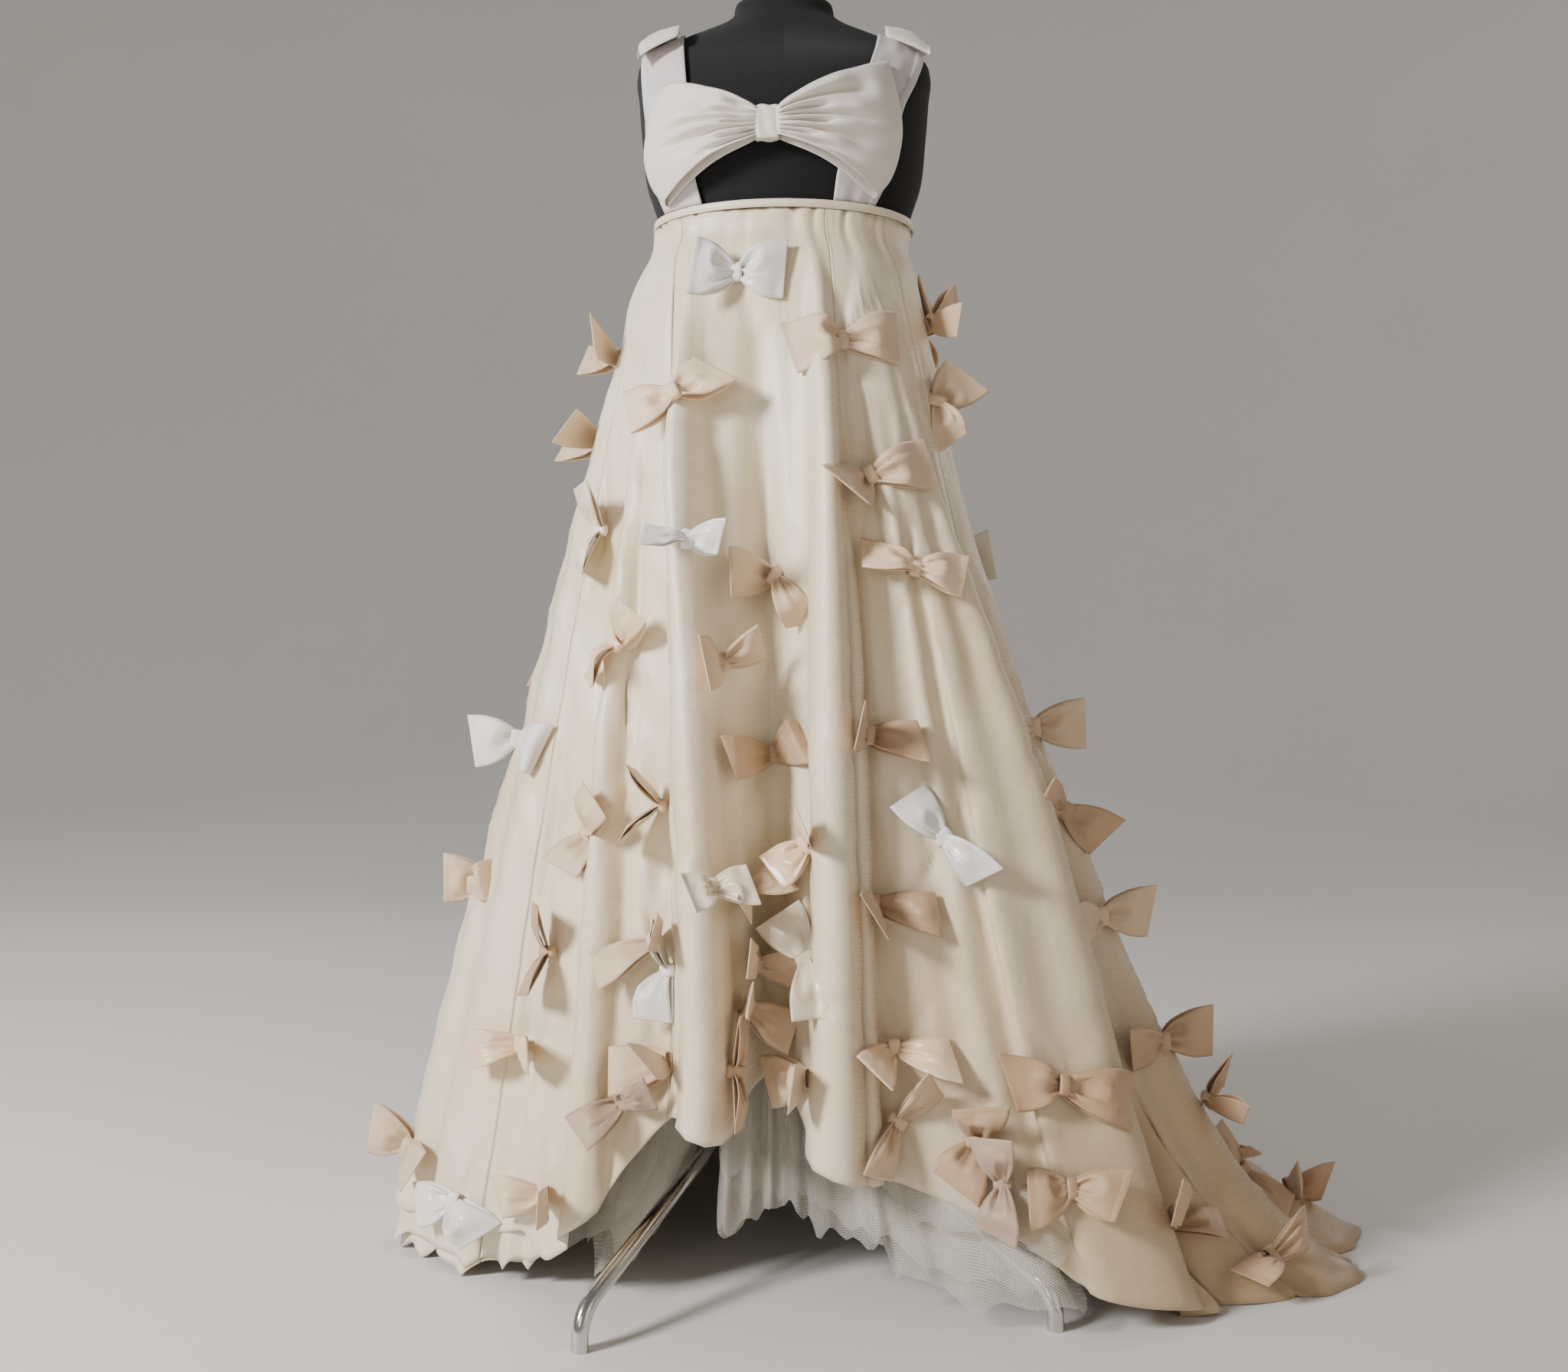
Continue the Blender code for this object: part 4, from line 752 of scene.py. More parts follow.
# Painted shade on the skirt: a browner tone of its deep colour, laid on low down and toward the train
PAINTED_SHADE_TONES = (0.66, 0.54, 0.42)


def taffeta(name, light, deep, roughness=0.46, sheen=0.3, crumple=0.0009, painted_shade=0.0):
    """Plain-woven silk taffeta: crisp and papery, with fine cross threads, slubs and a dry sheen."""
    material, tree, cloth, place = new_material(name)
    slub = {"Vector": cloth, "Scale": (1 / SLUB_LENGTH, 1 / SLUB_SPACING, 1)}
    slub = {"Vector": add(tree, "ShaderNodeMapping", slub), "Scale": 1.0, "Detail": 2.0}
    slub = add(tree, "ShaderNodeTexNoise", slub)
    cloud = add(tree, "ShaderNodeTexNoise", {"Vector": place, "Scale": 5.0, "Detail": 3.0})
    thread = {"Vector": cloth, "Scale": WAVE_LENGTH / TAFFETA_THREAD}
    warp = add(tree, "ShaderNodeTexWave", thread, bands_direction="X").outputs["Fac"]
    weft = add(tree, "ShaderNodeTexWave", thread, bands_direction="Y").outputs["Fac"]
    threads = add(tree, "ShaderNodeMath", {0: warp, 1: weft}, operation="MULTIPLY")
    # Taffeta holds small soft dents where it was handled
    dents = add(tree, "ShaderNodeMapping", {"Vector": place, "Scale": (1.6, 1.6, 0.7)})
    dents = {"Vector": dents, "Scale": 26.0, "Detail": 4.0, "Roughness": 0.5}
    dents = add(tree, "ShaderNodeTexNoise", dents)
    cloudy = add(tree, "ShaderNodeMapRange", {"Value": cloud, "From Min": 0.3, "From Max": 0.7})
    streaky = {"Value": slub, "From Min": 0.3, "From Max": 0.7, "To Max": 0.20}
    streaky = add(tree, "ShaderNodeMapRange", streaky)
    depth = add(tree, "ShaderNodeMath", {0: cloudy, 1: 0.65, 2: streaky}, operation="MULTIPLY_ADD")
    colours = {0: depth, 6: (*light, 1), 7: (*deep, 1)}
    colour = add(tree, "ShaderNodeMix", colours, data_type="RGBA").outputs[2]
    if painted_shade:
        # Painted shade: the colour turns browner low down and toward the train, where the light falls off
        apart = add(tree, "ShaderNodeSeparateXYZ", {"Vector": place}).outputs
        low = add(tree, "ShaderNodeMapRange", {"Value": apart["Z"], "From Min": 1.05, "From Max": 0.10})
        side = add(tree, "ShaderNodeMapRange", {"Value": apart["X"], "From Min": -0.16, "From Max": 0.42})
        painted_shade_mask = add(tree, "ShaderNodeMath", {0: low, 1: side}, operation="MULTIPLY")
        painted_shade_mask = add(tree, "ShaderNodeMath", {0: painted_shade_mask, 1: painted_shade}, operation="MULTIPLY")
        colours = {0: painted_shade_mask, 6: colour, 7: (*shaded(deep, *PAINTED_SHADE_TONES), 1)}
        colour = add(tree, "ShaderNodeMix", colours, data_type="RGBA").outputs[2]
    bumps = add(tree, "ShaderNodeBump", {"Height": dents, "Distance": crumple})
    bumps = {"Height": slub, "Distance": TAFFETA_RELIEF * 0.8, "Normal": bumps}
    bumps = {"Height": threads, "Distance": TAFFETA_RELIEF, "Normal": add(tree, "ShaderNodeBump", bumps)}
    rough = {"Value": slub, "From Min": 0.3, "From Max": 0.7}
    rough.update({"To Min": roughness - 0.05, "To Max": roughness + 0.05})
    silk = {"Base Color": colour, "Roughness": add(tree, "ShaderNodeMapRange", rough)}
    silk.update({"Sheen Weight": sheen, "Sheen Roughness": 0.4, "Anisotropic": 0.4})
    silk.update({"Specular IOR Level": 0.7, "Normal": add(tree, "ShaderNodeBump", bumps)})
    add(tree, "ShaderNodeOutputMaterial", {"Surface": add(tree, "ShaderNodeBsdfPrincipled", silk)})
    return material


def satin(name, light, deep, roughness=0.27):
    """Silk satin: long floats lie side by side, so the face is smooth and shines along the ribbon."""
    material, tree, cloth, place = new_material(name)
    floats = {"Vector": cloth, "Scale": (1 / FLOAT_LENGTH, 1 / SATIN_THREAD, 1)}
    floats = {"Vector": add(tree, "ShaderNodeMapping", floats), "Scale": 1.0, "Detail": 2.0}
    floats = add(tree, "ShaderNodeTexNoise", floats)
    cloud = add(tree, "ShaderNodeTexNoise", {"Vector": place, "Scale": 18.0, "Detail": 3.0})
    cloudy = add(tree, "ShaderNodeMapRange", {"Value": cloud, "From Min": 0.35, "From Max": 0.65})
    colours = {0: cloudy, 6: (*light, 1), 7: (*deep, 1)}
    colour = add(tree, "ShaderNodeMix", colours, data_type="RGBA").outputs[2]
    bumps = add(tree, "ShaderNodeBump", {"Height": cloud, "Distance": 0.0010})
    bumps = add(tree, "ShaderNodeBump", {"Height": floats, "Distance": 0.00005, "Normal": bumps})
    rough = {"Value": floats, "From Min": 0.3, "From Max": 0.7}
    rough.update({"To Min": roughness - 0.04, "To Max": roughness + 0.05})
    silk = {"Base Color": colour, "Roughness": add(tree, "ShaderNodeMapRange", rough)}
    silk.update({"Anisotropic": 0.5, "Sheen Weight": 0.15, "Normal": bumps})
    add(tree, "ShaderNodeOutputMaterial", {"Surface": add(tree, "ShaderNodeBsdfPrincipled", silk)})
    return material


def silk_net(name, light, cover):
    """Silk net: fine threads with holes between, so each layer only veils what lies behind it."""
    material, tree, cloth, place = new_material(name)
    mesh = None
    for turn in (0.0, math.pi / 3, -math.pi / 3):
        lines = add(tree, "ShaderNodeMapping", {"Vector": cloth, "Rotation": (0, 0, turn)})
        lines = {"Vector": lines, "Scale": WAVE_LENGTH / NET_CELL, "Distortion": 0.4}
        lines = add(tree, "ShaderNodeTexWave", lines, bands_direction="X").outputs["Fac"]
        lines = add(tree, "ShaderNodeMapRange", {"Value": lines, "From Min": 0.72, "From Max": 0.95})
        mesh = add(tree, "ShaderNodeMath", {0: mesh, 1: lines}, operation="MAXIMUM") if mesh else lines
    bunched = add(tree, "ShaderNodeMapping", {"Vector": place, "Scale": (1, 1, 0.25)})
    bunched = add(tree, "ShaderNodeTexNoise", {"Vector": bunched, "Scale": 30.0, "Detail": 3.0})
    veil = {"Value": bunched, "From Min": 0.35, "From Max": 0.7}
    veil.update({"To Min": cover * 0.4, "To Max": cover * 1.3})
    veil = {0: mesh, 1: 0.26, 2: add(tree, "ShaderNodeMapRange", veil)}
    alpha = {"Value": add(tree, "ShaderNodeMath", veil, operation="MULTIPLY_ADD")}
    alpha.update({"To Min": 0.02, "To Max": 0.95})
    net = {"Base Color": (*light, 1), "Roughness": 0.7, "Sheen Weight": 0.4}
    net["Alpha"] = add(tree, "ShaderNodeMapRange", alpha)
    add(tree, "ShaderNodeOutputMaterial", {"Surface": add(tree, "ShaderNodeBsdfPrincipled", net)})
    return material


def cotton_jersey(name, light, deep):
    """Knitted cotton cover of the form: soft, matt and almost black, with fine upright wales."""
    material, tree, cloth, place = new_material(name)
    wales = {"Vector": cloth, "Scale": WAVE_LENGTH / JERSEY_RIB, "Distortion": 0.6}
    wales = add(tree, "ShaderNodeTexWave", wales, bands_direction="X").outputs["Fac"]
    fuzz = add(tree, "ShaderNodeTexNoise", {"Vector": place, "Scale": 240.0, "Detail": 3.0})
    colours = {0: fuzz, 6: (*light, 1), 7: (*deep, 1)}
    knit = {"Base Color": add(tree, "ShaderNodeMix", colours, data_type="RGBA").outputs[2]}
    knit["Normal"] = add(tree, "ShaderNodeBump", {"Height": wales, "Distance": 0.00012})
    knit.update({"Roughness": 0.95, "Sheen Weight": 0.04})
    add(tree, "ShaderNodeOutputMaterial", {"Surface": add(tree, "ShaderNodeBsdfPrincipled", knit)})
    return material


def polished_tube(name, colour, roughness):
    """Drawn and plated steel tube: bright, with faint marks round the tube from polishing."""
    material, tree, _, place = new_material(name)
    marks = add(tree, "ShaderNodeMapping", {"Vector": place, "Scale": (20, 20, 600)})
    marks = add(tree, "ShaderNodeTexNoise", {"Vector": marks, "Scale": 1.0, "Detail": 2.0})
    marks = {"Value": marks, "From Min": 0.3, "From Max": 0.7}
    marks.update({"To Min": roughness, "To Max": roughness + 0.06})
    smears = add(tree, "ShaderNodeTexNoise", {"Vector": place, "Scale": 30.0, "Detail": 4.0})
    smears = {"Value": smears, "From Min": 0.4, "From Max": 0.7, "To Max": 0.14}
    rough = {0: add(tree, "ShaderNodeMapRange", marks), 1: add(tree, "ShaderNodeMapRange", smears)}
    steel = {"Base Color": (*colour, 1), "Metallic": 1.0}
    steel["Roughness"] = add(tree, "ShaderNodeMath", rough, operation="ADD")
    add(tree, "ShaderNodeOutputMaterial", {"Surface": add(tree, "ShaderNodeBsdfPrincipled", steel)})
    return material


def painted_floor(name, colour):
    """Studio floor in matt emulsion paint: even, with faint clouds from the roller."""
    material, tree, _, place = new_material(name)
    cloud = add(tree, "ShaderNodeTexNoise", {"Vector": place, "Scale": 1.2, "Detail": 3.0})
    colours = {0: cloud, 6: (*colour, 1), 7: (*shaded(colour, 0.96, 0.96, 0.96), 1)}
    paint = {"Base Color": add(tree, "ShaderNodeMix", colours, data_type="RGBA").outputs[2]}
    paint["Roughness"] = 0.7
    add(tree, "ShaderNodeOutputMaterial", {"Surface": add(tree, "ShaderNodeBsdfPrincipled", paint)})
    return material


def cloth_of(context, cloth):
    """The material of a bow's cloth, made once."""
    name = cloth.replace(" ", "_") + "_bow_silk"
    if name in bpy.data.materials:
        return bpy.data.materials[name]
    light = tuple(getattr(context.scene.dress_colours, "bow_" + cloth.split()[0]))
    deep = shaded(light, 0.90, 0.86, 0.80)
    if cloth.endswith("satin"):
        return satin(name, light, deep)
    return taffeta(name, light, deep, roughness=0.50, crumple=0.0012)


def skirt_cloth(context):
    """The skirt's taffeta, made once."""
    name = "ivory_silk_taffeta"
    colours = context.scene.dress_colours
    light, deep = tuple(colours.skirt_light), tuple(colours.skirt_deep)
    # The skirt's taffeta carries painted shade, browner low down and toward the train
    return bpy.data.materials.get(name) or taffeta(
        name, light, deep, roughness=0.28, crumple=0.0012, painted_shade=0.9
    )


def bodice_cloth(context):
    """The taffeta of the bust bow and the shoulder bows, made once."""
    name = "off_white_silk_taffeta"
    light = tuple(context.scene.dress_colours.bodice)
    deep = shaded(light, 0.95, 0.93, 0.89)
    return bpy.data.materials.get(name) or taffeta(name, light, deep, roughness=0.55, crumple=0.0005)


def fine_gathers(angle, drop, reach):
    """Small pulls that run down from the bound top edge, uneven in depth and length."""
    rng = np.random.default_rng(21)
    depth = np.zeros_like(reach)
    below = drop * SKIRT_TOP
    for at, width, length, amount in TOP_DARTS:
        off = (angle - at + 180) % 360 - 180
        place = np.radians(off) * reach / (width * (0.5 + 4 * below / length))
        depth -= amount * bell(place) * (1 - smooth_step(0.3 * length, length, below))
    for _ in range(SMALL_PULLS):
        at = rng.uniform(0, 360)
        width = rng.uniform(0.0018, 0.0050)
        length = rng.uniform(0.035, 0.16)
        amount = rng.uniform(0.0008, 0.0030)
        off = (angle - at + 180) % 360 - 180
        place = np.radians(off) * reach / (width * (1 + 3 * below / length))
        depth -= amount * bell(place) * (1 - smooth_step(0.2 * length, length, below))
    return depth


def long_creases(angle, drop, reach):
    """The placed creases: soft troughs and ridges that grow in and fade out."""
    depth = np.zeros_like(reach)
    for row in CREASES:
        crease = dict(zip(CREASE_COLUMNS, row))
        part = np.clip((drop - crease["start"]) / (crease["end"] - crease["start"]), 0, 1)
        centre = crease["angle"] + crease["drift"] * (part - 0.5)
        off = (angle - centre + 180) % 360 - 180
        width = crease["start_width"] + (crease["end_width"] - crease["start_width"]) * part
        grown = smooth_step(0, 0.35, part) * (1 - 0.7 * smooth_step(0.8, 1.0, part))
        depth += CREASE_STRENGTH * crease["depth"] * grown * bell(np.radians(off) * reach / width)
    return depth


def tack_pulls(points, centres, scale):
    """Pulls in the cloth above and below each tacked bow."""
    depth = np.zeros(points.shape[:-1])
    rng = np.random.default_rng(5)
    for centre, level, upward in centres:
        # Four pulls run up from a bow, four down and a short one to each side
        rays = [
            (
                math.radians(base + rng.uniform(-42, 42)),
                rng.uniform(0.045, 0.13) if base in (90, 270) else rng.uniform(0.03, 0.06),
                rng.uniform(0.0025, 0.0050),
                rng.uniform(0.0010, 0.0030),
            )
            for base in (*[90] * 4, *[270] * 4, 20, 160)
        ]
        offset = points - centre
        near = (offset**2).sum(-1) < 0.15**2
        if not near.any():
            continue
        right = offset[near] @ level
        up = offset[near] @ upward
        found = np.zeros(len(right))
        for turn, length, width, amount in rays:
            along = right * math.cos(turn) + up * math.sin(turn)
            aside = up * math.cos(turn) - right * math.sin(turn)
            broad = width * (0.6 + 2.2 * np.clip(along / length, 0, 1))
            grown = smooth_step(0.0, 0.012, along) * (1 - smooth_step(0.3 * length, length, along))
            found -= amount * bell(aside / broad) * grown
        depth[near] += found * scale
    return depth


def bow_frame(angle, drop, fronted):
    """Centre of a bow on the skirt, its outward direction, and the two directions it lies in."""
    centre = skirt_point(angle, drop)
    broad = (math.degrees(0.035 / np.linalg.norm(centre[:2])), 0.03)
    normal = facing(skirt_point, np.array(angle, float), np.array(drop, float), broad)
    front = np.array([0, -1.0, 0])
    normal = normal * (1 - fronted) + front * fronted
    normal = normal / np.linalg.norm(normal)
    level = np.cross(np.array([0, 0, 1.0]), normal)
    level = level / np.linalg.norm(level)
    return centre, normal, level, np.cross(normal, level)


def all_bows():
    """The rows of every bow on the skirt, the hidden sides' ones worked out by rule."""
    bows = [dict(zip(BOW_COLUMNS, row)) for row in BOWS]
    rng = np.random.default_rng(12)
    number = len(bows)
    for drop, start, step, count in HIDDEN_ROWS:
        for place in range(count):
            number += 1
            tilt = rng.uniform(-45, 45)
            bows.append(
                {
                    "name": f"{number:02d}",
                    "angle": start + step * place + rng.uniform(-5, 5),
                    "drop": drop + rng.uniform(-0.014, 0.014),
                    "fronted": 0.0,
                    "right_turn": tilt + rng.uniform(-14, 14),
                    "right_length": rng.uniform(42, 62),
                    "right_height": rng.uniform(38, 60),
                    "right_slant": rng.uniform(-14, 14),
                    "left_turn": 180 + tilt + rng.uniform(-14, 14),
                    "left_length": rng.uniform(42, 60),
                    "left_height": rng.uniform(38, 60),
                    "left_slant": rng.uniform(-14, 14),
                    "cloth": HIDDEN_CLOTHS[number % len(HIDDEN_CLOTHS)],
                }
            )
    return bows


def bow_centres():
    frames = []
    for bow in all_bows():
        centre, _, level, upward = bow_frame(bow["angle"], bow["drop"], bow["fronted"])
        frames.append((centre, level, upward))
    return frames


def gore_grid(start, end, sizes):
    """Points of one gore with its folds, creases and pulls."""
    middle = skirt_point((start + end) / 2, 1.0)
    hem_width = math.radians(end - start) * np.linalg.norm(middle[:2])
    seam = math.degrees(SEAM_GAP / 8 / TOP_HALF_WIDTH)
    columns = round(hem_width * 1.35 / sizes.mesh_size) + 1
    rows = round(SKIRT_TOP / (sizes.mesh_size * 1.55)) + 1
    angles = np.linspace(start + seam, end - seam, columns)
    drops = np.linspace(0, 1, rows) ** 0.96
    angle, drop = np.meshgrid(angles, drops)
    first = (BINDING_HEIGHT + SEAM_GAP) / (SKIRT_TOP - hem_value("height", angles))
    drop = first + (1 - first) * drop
    drop = drop * (1 - hem_lift(angle) * drop**2)
    base = skirt_point(angle, drop)
    normal = facing(skirt_point, angle, drop)
    reach = np.linalg.norm(base[..., :2], axis=-1)
    turn = cloth_turn(angle, drop)
    below = (1 - drop) * SKIRT_TOP
    relief = fine_gathers(turn, drop, reach) * sizes.gathers
    relief += long_creases(angle, drop, reach)
    relief += tack_pulls(base, bow_centres(), sizes.pulls)
    arc = np.radians(turn) * reach
    wide = soft_noise(arc / 0.060 + 40, base[..., 2] / 0.17, 3) * 0.0022
    middle = soft_noise(arc / 0.024 + 90, base[..., 2] / 0.07, 4) * 0.0010
    ridged = 1 - np.abs(soft_noise(arc / 0.030 + base[..., 2] / 0.09, base[..., 2] / 0.055, 6))
    small = ridged**7 * 0.0013 - 0.0002
    relief += (wide + middle + small) * sizes.crumple * smooth_step(0.0, 0.05, drop)
    flutter = soft_noise(arc / 0.035 + 20, 0 * arc + 3.5, 8) * 0.0060
    relief += flutter * (1 - smooth_step(0.0, 0.14, below)) * smooth_step(0.2, 0.6, drop)
    edge = np.minimum(np.arange(columns), np.arange(columns)[::-1])[None, :]
    seam_dip = np.where(edge == 0, -0.0006, 0.0)
    relief = relief * np.clip(0.35 + edge / 6, 0, 1) + seam_dip
    hem_turn = 0.0005 * smooth_step(0.014, 0.012, below)
    points = base + normal * (relief + hem_turn)[..., None]
    points[..., 2] = np.clip(points[..., 2], LOWEST, base[0, :, 2])
    return points


def hem_lift(angle):
    """How much of the drop the outer layer leaves off where the hem is turned up into layers."""
    off = (np.asarray(angle, float) + 180) % 360 - 180
    return HEM_LIFT * smooth_step(-96, -84, off) * (1 - smooth_step(-56, -49, off))


def hem_layers(start, end):
    """The cloth under the hem at the short side's front, turned back on itself in two layers."""
    start, end = max(start, LAYERS_START), min(end, LAYERS_END)
    if start >= end:
        return []
    grids = []
    for seed, inset, first, ragged in HEM_LAYERS:
        angles = np.linspace(start + 0.05, end - 0.05, round((end - start) * 2.2) + 2)
        angle, part = np.meshgrid(angles, np.linspace(0, 1, 16))
        edge = np.abs(soft_noise(angle / 5.5 + seed, 0 * angle + seed, seed))
        last = 1.0 - ragged - 0.018 * edge
        drop = first + (last - first) * part
        base = skirt_point(angle, drop)
        ripple = soft_noise(angle / 3.2 + seed, drop * 20, seed + 1) * 0.009 * part
        points = base - facing(skirt_point, angle, drop) * (inset + ripple + 0.002)[..., None]
        points[..., 2] = np.maximum(points[..., 2], LOWEST)
        grids.append(cloth_grid(points))
    return grids


def form_value(name, height):
    rows = columns_of(FORM, FORM_COLUMNS)
    return smooth_curve(rows["height"], rows[name], height)


def over_shoulder(x, turn, offset):
    """Points of the form, moved out by offset, in the upright planes at x: turn 0 forward, 90 up."""
    x, turn, offset = np.broadcast_arrays(
        np.asarray(x, float), np.asarray(turn, float), np.asarray(offset, float)
    )
    below = np.maximum(np.maximum(-turn, turn - 180), 0)
    low_height = SHOULDER_CENTRE - below / STRAP_TURN_DOWN * (SHOULDER_CENTRE - STRAP_END)
    ahead = turn < 90
    half_width = form_value("half_width", low_height) + offset
    depth = np.where(ahead, form_value("front", low_height), form_value("back", low_height))
    y = (depth + offset) * np.sqrt(np.maximum(1 - (x / half_width) ** 2, 0))
    straight = np.stack([x, np.where(ahead, -y, y), low_height], -1)
    low, high = np.zeros(x.shape), np.full(x.shape, 0.30)
    for _ in range(30):
        middle = (low + high) / 2
        height = SHOULDER_CENTRE + middle * np.sin(np.radians(turn))
        y = -middle * np.cos(np.radians(turn))
        half_width = form_value("half_width", height) + offset
        depth = np.where(y < 0, form_value("front", height), form_value("back", height)) + offset
        inside = (height <= FORM[-1][0] + offset) & ((x / half_width) ** 2 + (y / depth) ** 2 < 1)
        low = np.where(inside, middle, low)
        high = np.where(inside, high, middle)
    round_over = np.stack([x, y, height], -1)
    return np.where((below > 0)[..., None], straight, round_over)


def bust_point(x, height, offset):
    """Point in front of the bust, moved out by offset."""
    half_width = form_value("half_width", height) + offset + 0.004
    front = form_value("front", height) + offset
    return np.stack([x, -front * np.sqrt(np.maximum(1 - (x / half_width) ** 2, 0.02)), height], -1)


def bust_wing_point(name, along, part, offset):
    """Point of a wing of the bust bow: along from 0 at the knot to 1 at its end."""
    rows = columns_of(WINGS[name], WING_COLUMNS)
    end_x = smooth_curve(rows["part"], rows["x"], np.clip(part, 0, 1))
    end_height = smooth_curve(rows["part"], rows["height"], np.clip(part, 0, 1))
    side = math.copysign(1, rows["x"][0])
    start_x = KNOT_X + side * (KNOT_HALF_WIDTH - 0.003)
    start_height = KNOT_LOW + 0.004 + (KNOT_HIGH - KNOT_LOW - 0.008) * part
    x = start_x + (end_x - start_x) * along
    height = start_height + (end_height - start_height) * np.maximum(along, 0) ** 0.8
    sag = 0.010 * np.sin(math.pi * np.clip(along, 0, 1)) * (1 - part)
    return bust_point(x, height + sag, offset)


def petticoat_point(angle, drop, lift=0.0, inset=0.0):
    """Point of the net: angle in degrees, drop from 0 at its waist to 1 at its hem."""
    angle, drop = np.broadcast_arrays(np.asarray(angle, float), np.asarray(drop, float))
    rows = columns_of(PETTICOAT, PETTICOAT_COLUMNS)
    turn = np.radians(angle)
    hem = smooth_curve(rows["angle"], rows["height"], angle, 360) + lift
    height = PETTICOAT_TOP - drop * (PETTICOAT_TOP - hem)
    near = np.maximum(height, 0.860)
    ahead = np.cos(turn) > 0
    depth = np.where(ahead, form_value("front", near), form_value("back", near))
    room = 0.0022 + 0.003 * smooth_step(0.0, 0.1, drop)
    base = ring_reach(form_value("half_width", near) + room, depth + room, turn)
    reach = smooth_curve(rows["angle"], rows["reach"], angle, 360) - inset
    wave = 0.007 * np.cos(turn * PETTICOAT_WAVES) * smooth_step(0.3, 1, drop)
    reach = base + (reach - base) * drop**PETTICOAT_SWEEP + wave
    return np.stack([reach * np.sin(turn), -reach * np.cos(turn), height], -1)


def new_tree(name, inputs, output):
    """A geometry node tree with these named inputs and one output, and the sockets of its inputs."""
    tree = bpy.data.node_groups.new(name, "GeometryNodeTree")
    for label, kind, value in inputs:
        socket = tree.interface.new_socket(label, in_out="INPUT", socket_type="NodeSocket" + kind)
        if value is not None:
            socket.default_value = value
    tree.interface.new_socket(output, in_out="OUTPUT", socket_type="NodeSocketGeometry")
    return tree, add(tree, "NodeGroupInput").outputs


def stitch_tree():
    """Node tree: a row of stitches along lines, each a short rounded stretch of thread."""
    inputs = (
        ("Path", "Geometry", None),
        ("Spacing", "Float", 0.0035),
        ("Stitch Length", "Float", 0.0024),
        ("Thread Radius", "Float", 0.00035),
        ("Thread", "Material", None),
    )
    tree, given = new_tree("row_of_stitches", inputs, "Stitches")
    line = add(tree, "GeometryNodeMeshToCurve", {"Mesh": given["Path"]})
    places = {"Curve": line, "Length": given["Spacing"]}
    places = add(tree, "GeometryNodeResampleCurve", places, mode="LENGTH")
    half = add(tree, "ShaderNodeMath", {0: given["Stitch Length"], 1: 0.5}, operation="MULTIPLY")
    size = {"X": half, "Y": given["Thread Radius"], "Z": given["Thread Radius"]}
    size = add(tree, "ShaderNodeCombineXYZ", size)
    bead = add(tree, "GeometryNodeMeshUVSphere", {"Segments": 6, "Rings": 4, "Radius": 1.0})
    stitch = add(tree, "GeometryNodeTransform", {"Geometry": bead, "Scale": size})
    turned = {"Vector": add(tree, "GeometryNodeInputTangent")}
    turned = add(tree, "FunctionNodeAlignRotationToVector", turned, axis="X")
    uneven = add(tree, "FunctionNodeRandomValue", {2: 0.85, 3: 1.12, "Seed": 7}, data_type="FLOAT")
    row = {"Points": places, "Instance": stitch, "Rotation": turned, "Scale": uneven.outputs[1]}
    row = {"Geometry": add(tree, "GeometryNodeInstanceOnPoints", row)}
    row = {"Geometry": add(tree, "GeometryNodeRealizeInstances", row), "Material": given["Thread"]}
    add(tree, "NodeGroupOutput", {"Stitches": add(tree, "GeometryNodeSetMaterial", row)})
    return tree


def tube_tree():
    """Node tree: a round tube swept along lines, closed at its ends."""
    inputs = (
        ("Path", "Geometry", None),
        ("Radius", "Float", 0.008),
        ("Sides", "Int", 32),
        ("Metal", "Material", None),
    )
    tree, given = new_tree("swept_tube", inputs, "Tube")
    line = add(tree, "GeometryNodeMeshToCurve", {"Mesh": given["Path"]})
    section = {"Resolution": given["Sides"], "Radius": given["Radius"]}
    section = add(tree, "GeometryNodeCurvePrimitiveCircle", section)
    tube = {"Curve": line, "Profile Curve": section, "Fill Caps": True}
    tube = {"Geometry": add(tree, "GeometryNodeCurveToMesh", tube), "Shade Smooth": True}
    tube = {"Geometry": add(tree, "GeometryNodeSetShadeSmooth", tube)}
    tube = {"Geometry": add(tree, "GeometryNodeRealizeInstances", tube), "Material": given["Metal"]}
    add(tree, "NodeGroupOutput", {"Tube": add(tree, "GeometryNodeSetMaterial", tube)})
    return tree


def grown(name, lines, tree, values):
    """A plain mesh that a node tree makes along lines of points."""
    points, edges = [], []
    for line in lines:
        start = len(points)
        points += [tuple(np.asarray(point) + AXIS) for point in line]
        edges += [(start + place, start + place + 1) for place in range(len(line) - 1)]
    mesh = bpy.data.meshes.new(name + "_path")
    mesh.from_pydata(points, edges, [])
    carrier = new_object(name + "_path", mesh)
    modifier = carrier.modifiers.new("made", "NODES")
    modifier.node_group = tree
    for item in tree.interface.items_tree:
        if item.in_out == "INPUT" and item.name in values:
            modifier[item.identifier] = values[item.name]
    bpy.context.view_layer.update()
    graph = bpy.context.evaluated_depsgraph_get()
    result = bpy.data.meshes.new_from_object(carrier.evaluated_get(graph), depsgraph=graph)
    result.name = name
    carrier.modifiers.remove(modifier)
    bpy.data.objects.remove(carrier)
    return new_object(name, result)


def described(about, name, default, unit="NONE"):
    """A size or a strength with its words."""
    return bpy.props.FloatProperty(name=name, description=about, default=default, unit=unit)


def silk(about, name, code):
    """A colour with its words, from its sRGB hex code."""
    default = linear(code)
    return bpy.props.FloatVectorProperty(name=name, description=about, subtype="COLOR", default=default)


